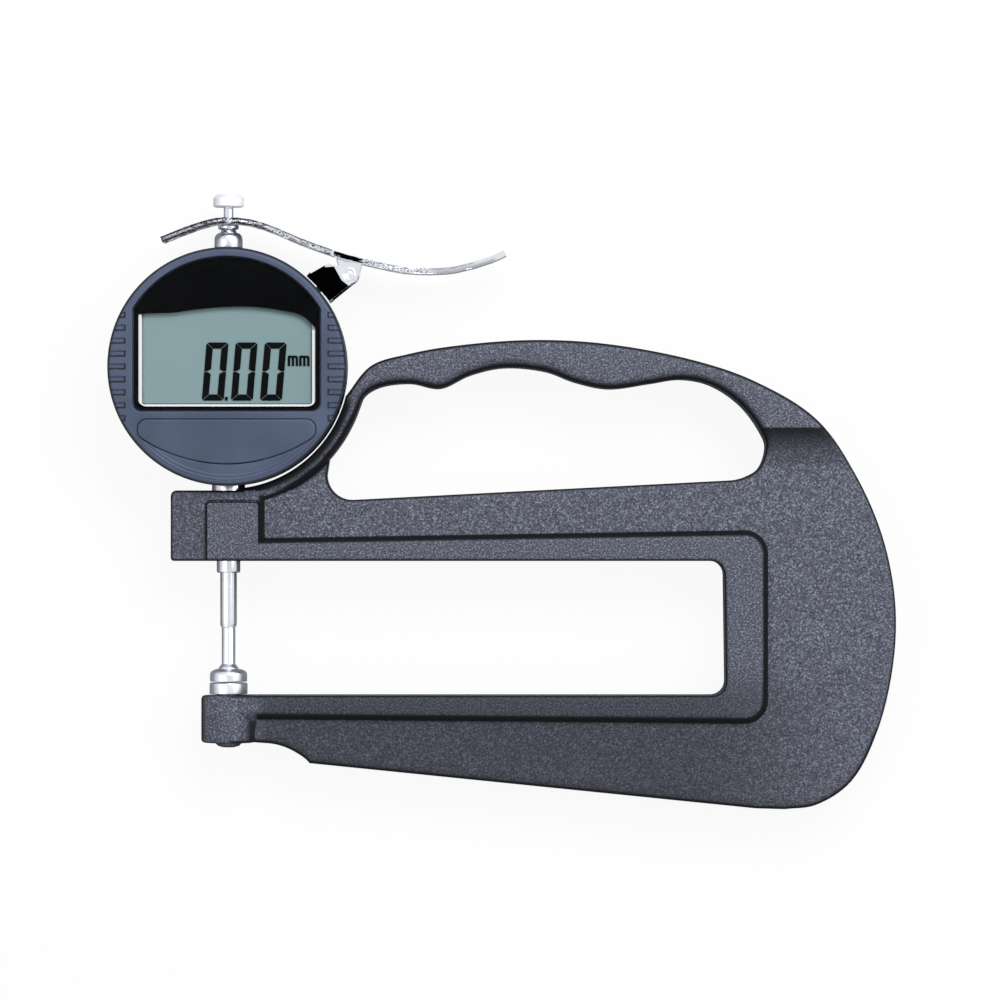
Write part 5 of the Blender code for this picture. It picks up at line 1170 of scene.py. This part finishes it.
# painted dark reflections near the listed edges of the strip's front
def leverShade(points, lean):
    normals = np.zeros(len(points) * 3, np.float32)
    liftLever.data.vertex_normals.foreach_get("vector", normals)
    up, x = normals.reshape(-1, 3)[:, 1], points[:, 0]
    front = points[:, 2] > 3.4
    amount = np.zeros(len(points))
    for side, begin, end, width, strength in darkReflectionLines:
        edge = points[front & (side * up > 0.7) & (x > begin - 1) & (x < end + 1)]
        tree = KDTree(len(edge))
        for number, spot in enumerate(edge):
            tree.insert((spot[0], spot[1], 0.0), number)
        tree.balance()
        near = np.flatnonzero(front & (x > begin) & (x < end))
        gaps = np.array([tree.find((spot[0], spot[1], 0.0))[2] for spot in points[near]])
        amount[near] = np.maximum(amount[near], strength * ease(1.6 - 1.6 * gaps / width))
    return amount


finishPiece(liftLever, hammeredPlating, "lever", ["lifting_lever"], shade=leverShade)
print("lever:", len(liftLever.data.polygons), "faces")


def repeated(name, nodes, width, finish, body):
    # the first node's softened shape, copied to where each of the nodes sits
    spots = []
    for node in nodes:
        corners = np.array([vertex.co[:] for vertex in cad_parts[node].data.vertices])
        spots.append((corners.min(0) + corners.max(0)) / 2)
    seed = softCopy(name + "Seed", nodes[0], width)
    seed.data.transform(Matrix.Translation(-Vector(spots[0])))
    marks = seedMesh(name + "Spots", (np.array(spots) / mm, []))
    made = grown(name, spotsTree, {"Seed": seed, "Spots": marks, "Finish": finish})
    dropSeed(seed)
    dropSeed(marks)
    return finishPiece(made, finish, body, nodes, sharp=0)


spotsTree = copiesOnSpots()
repeated("rearScrews", ["rear_cover_screw_1", "rear_cover_screw_2", "rear_cover_screw_3",
                        "rear_cover_screw_4"], 0.08, darkPlating, "frame")
repeated("bracketScrews", ["bracket_screw_1", "bracket_screw_2"], 0.08, darkPlating, "frame")
repeated("boardScrews", ["board_screw_1", "board_screw_2"], 0.08, darkPlating, "frame")
repeated("keySwitches", ["key_switch_left", "key_switch_right"], 0.08, cellSteel, "frame")
print("repeated pieces made")

spring = {"foot": 80.62, "head": 99.88, "radius": 3.1, "wire": 0.22, "turns": 8.0}
springFoot, springHead = [Vector((0.0, spring[end], 0.0) + toRow) * mm for end in ("foot", "head")]
returnSpring = grown("returnSpring", coiledWire(), {
    "Turns": spring["turns"], "Coil Radius": spring["radius"] * mm, "Wire Radius": spring["wire"] * mm,
    "Length": (spring["head"] - spring["foot"]) * mm, "Foot": springFoot, "Finish": springSteel})
turnFacesOut(returnSpring.data)
returnSpring.data.shade_smooth()
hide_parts("return_spring")
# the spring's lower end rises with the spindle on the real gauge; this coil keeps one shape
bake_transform(returnSpring)

carried = {  # nodes that keep the frame's own shape
    "window_lens": clearWindow, "display_holder": bezelWhite, "display_glass": displayFace,
    "display_connector_upper": rubberStripe, "display_connector_lower": rubberStripe,
    "circuit_board": boardLaminate, "battery": cellSteel, "battery_contact_positive": contactBrass,
    "battery_contact_negative": contactBrass, "scale_carrier": carrierPlastic, "scale_plate": boardLaminate,
    "carrier_screw": darkPlating, "guide_pin": springSteel, "guide_rail": springSteel,
    "pivot_clip": darkPlating}
for node, finish in carried.items():
    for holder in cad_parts[node].material_slots:
        holder.material = finish
print("frame's own pieces painted:", len(carried))


# Stage, light and camera

# in metres; viewWidth is what the camera takes in across, at viewLevel
studio = {"floorSize": 3.0, "floorDrop": 0.0006, "cameraHeight": 1.409, "viewWidth": 0.2422,
          "viewLevel": 0.009, "aim": (-0.0005, 0.00032), "diffuseWorld": 0.36, "glossyWorld": 0.95,
          "sensor": 36.0}


def stageMesh(name, points, faces):
    mesh = bpy.data.meshes.new(name)
    mesh.from_pydata(points, [], faces)
    made = bpy.data.objects.new(name, mesh)
    bpy.context.scene.collection.objects.link(made)
    return made


def floorMaterial():
    made = bpy.data.materials.new("paleFloor")
    made.use_nodes = True
    tree = made.node_tree
    tree.nodes.clear()
    start = Wire(tree)
    path = start.node("ShaderNodeLightPath", out="Is Camera Ray")
    glossy = start.node("ShaderNodeLightPath", out="Is Glossy Ray")
    clear = start.node("ShaderNodeLightPath", out="Is Transmission Ray")
    shown = path + clear
    matt = start.node("ShaderNodeBsdfDiffuse", {}, {"Color": (0.90, 0.90, 0.90, 1.0)})
    glow = start.node("ShaderNodeEmission", {}, {"Color": (1.0, 1.0, 1.0, 1.0), "Strength": 1.0})
    dull = start.node("ShaderNodeBsdfDiffuse", {}, {"Color": (0.30, 0.30, 0.32, 1.0)})
    plain = start.node("ShaderNodeMixShader", {}, {0: 0.92 * shown, 1: matt, 2: glow})
    mixed = start.node("ShaderNodeMixShader", {}, {0: glossy, 1: plain, 2: dull})
    end = tree.nodes.new("ShaderNodeOutputMaterial")
    tree.links.new(mixed.socket, end.inputs["Surface"])
    return made


side, drop = studio["floorSize"], studio["floorDrop"]
floor = stageMesh("floor", [(-side, -side, -drop), (side, -side, -drop), (side, side, -drop),
                            (-side, side, -drop)], [(0, 1, 2, 3)])
floor.data.materials.append(floorMaterial())

world = bpy.data.worlds.new("studioWorld")
world.use_nodes = True
world.node_tree.nodes.clear()
sky = Wire(world.node_tree)
white = (1.0, 1.0, 1.0, 1.0)
around = sky.node("ShaderNodeBackground", {}, {"Color": white, "Strength": studio["diffuseWorld"]})
mirrored = sky.node("ShaderNodeBackground", {}, {"Color": white, "Strength": studio["glossyWorld"]})
seen = (sky.node("ShaderNodeLightPath", out="Is Camera Ray")
        + sky.node("ShaderNodeLightPath", out="Is Glossy Ray"))
both = sky.node("ShaderNodeMixShader", {}, {0: seen, 1: around, 2: mirrored})
world.node_tree.links.new(both.socket, world.node_tree.nodes.new("ShaderNodeOutputWorld").inputs["Surface"])
bpy.context.scene.world = world


def hungAt(x, y, height=0.70, shine=15.0 * mm):
    # where a card hangs so that a level face at x, y, in metres, mirrors it to the camera
    share = (height - shine) / (studio["cameraHeight"] - shine)
    return (x + (x - studio["aim"][0]) * share, y + (y - studio["aim"][1]) * share, height)


# black cards overhead, seen only in reflections: in the window, the bracket, the lever and the spindle
cards = {"window": ((-0.090, 0.0208), (-0.0428, 0.0208), (-0.0428, 0.0600), (-0.090, 0.0600)),
         "bracket": ((-0.0475, 0.0562), (-0.0413, 0.0477), (-0.0370, 0.0520), (-0.0388, 0.0534),
                     (-0.0406, 0.0567)),
         "strip": ((-0.0420, 0.0592), (-0.0326, 0.0572), (-0.0326, 0.0605), (-0.0420, 0.0628)),
         "spindle": ((-0.0687, -0.0570), (-0.0643, -0.0570), (-0.0643, 0.0108), (-0.0687, 0.0108))}
cardCorners, cardFaces = [], []
for card in cards.values():
    cardFaces.append(tuple(range(len(cardCorners), len(cardCorners) + len(card))))
    cardCorners += [hungAt(x, y) for x, y in card]


def flagLook(start, spot):
    cloud = noise(start, spot, 9.0)
    return {"Base Color": cloud.eased(0.2, 0.8).blend(linear(3, 3, 4), linear(7, 7, 8))}


flag = stageMesh("flagCards", cardCorners, cardFaces)
flag.data.materials.append(newFinish("flagCloth", {"Specular IOR Level": 0.0}, flagLook))
flag.visible_camera = flag.visible_diffuse = flag.visible_transmission = flag.visible_shadow = False


def softbox(name, place, aim, width, height, power):
    light = bpy.data.lights.new(name, "AREA")
    light.shape = "RECTANGLE"
    light.size = width
    light.size_y = height
    light.energy = power
    holder = bpy.data.objects.new(name, light)
    holder.location = place
    holder.rotation_euler = (Vector(aim) - Vector(place)).to_track_quat("-Z", "Y").to_euler()
    bpy.context.scene.collection.objects.link(holder)


softboxes = {  # place, aim, width, height and power
    "keyBox": ((0.20, 0.50, 0.66), (0.0, 0.02, 0.0), 0.60, 0.34, 5.2),
    "fillBox": ((-0.75, -0.20, 1.00), (0.0, 0.0, 0.0), 0.8, 0.8, 3.2),
    "sideBox": ((0.95, 0.25, 0.85), (0.0, 0.0, 0.0), 0.6, 0.8, 3.4)}
for name, settings in softboxes.items():
    softbox(name, *settings)

camera = bpy.data.cameras.new("camera")
camera.sensor_width = studio["sensor"]
camera.lens = studio["sensor"] * (studio["cameraHeight"] - studio["viewLevel"]) / studio["viewWidth"]
cameraHolder = bpy.data.objects.new("camera", camera)
cameraHolder.location = (*studio["aim"], studio["cameraHeight"])
bpy.context.scene.collection.objects.link(cameraHolder)
bpy.context.scene.camera = cameraHolder
bpy.context.scene.view_settings.view_transform = "Standard"
print("stage, light and camera set")

bpy.context.view_layer.update()
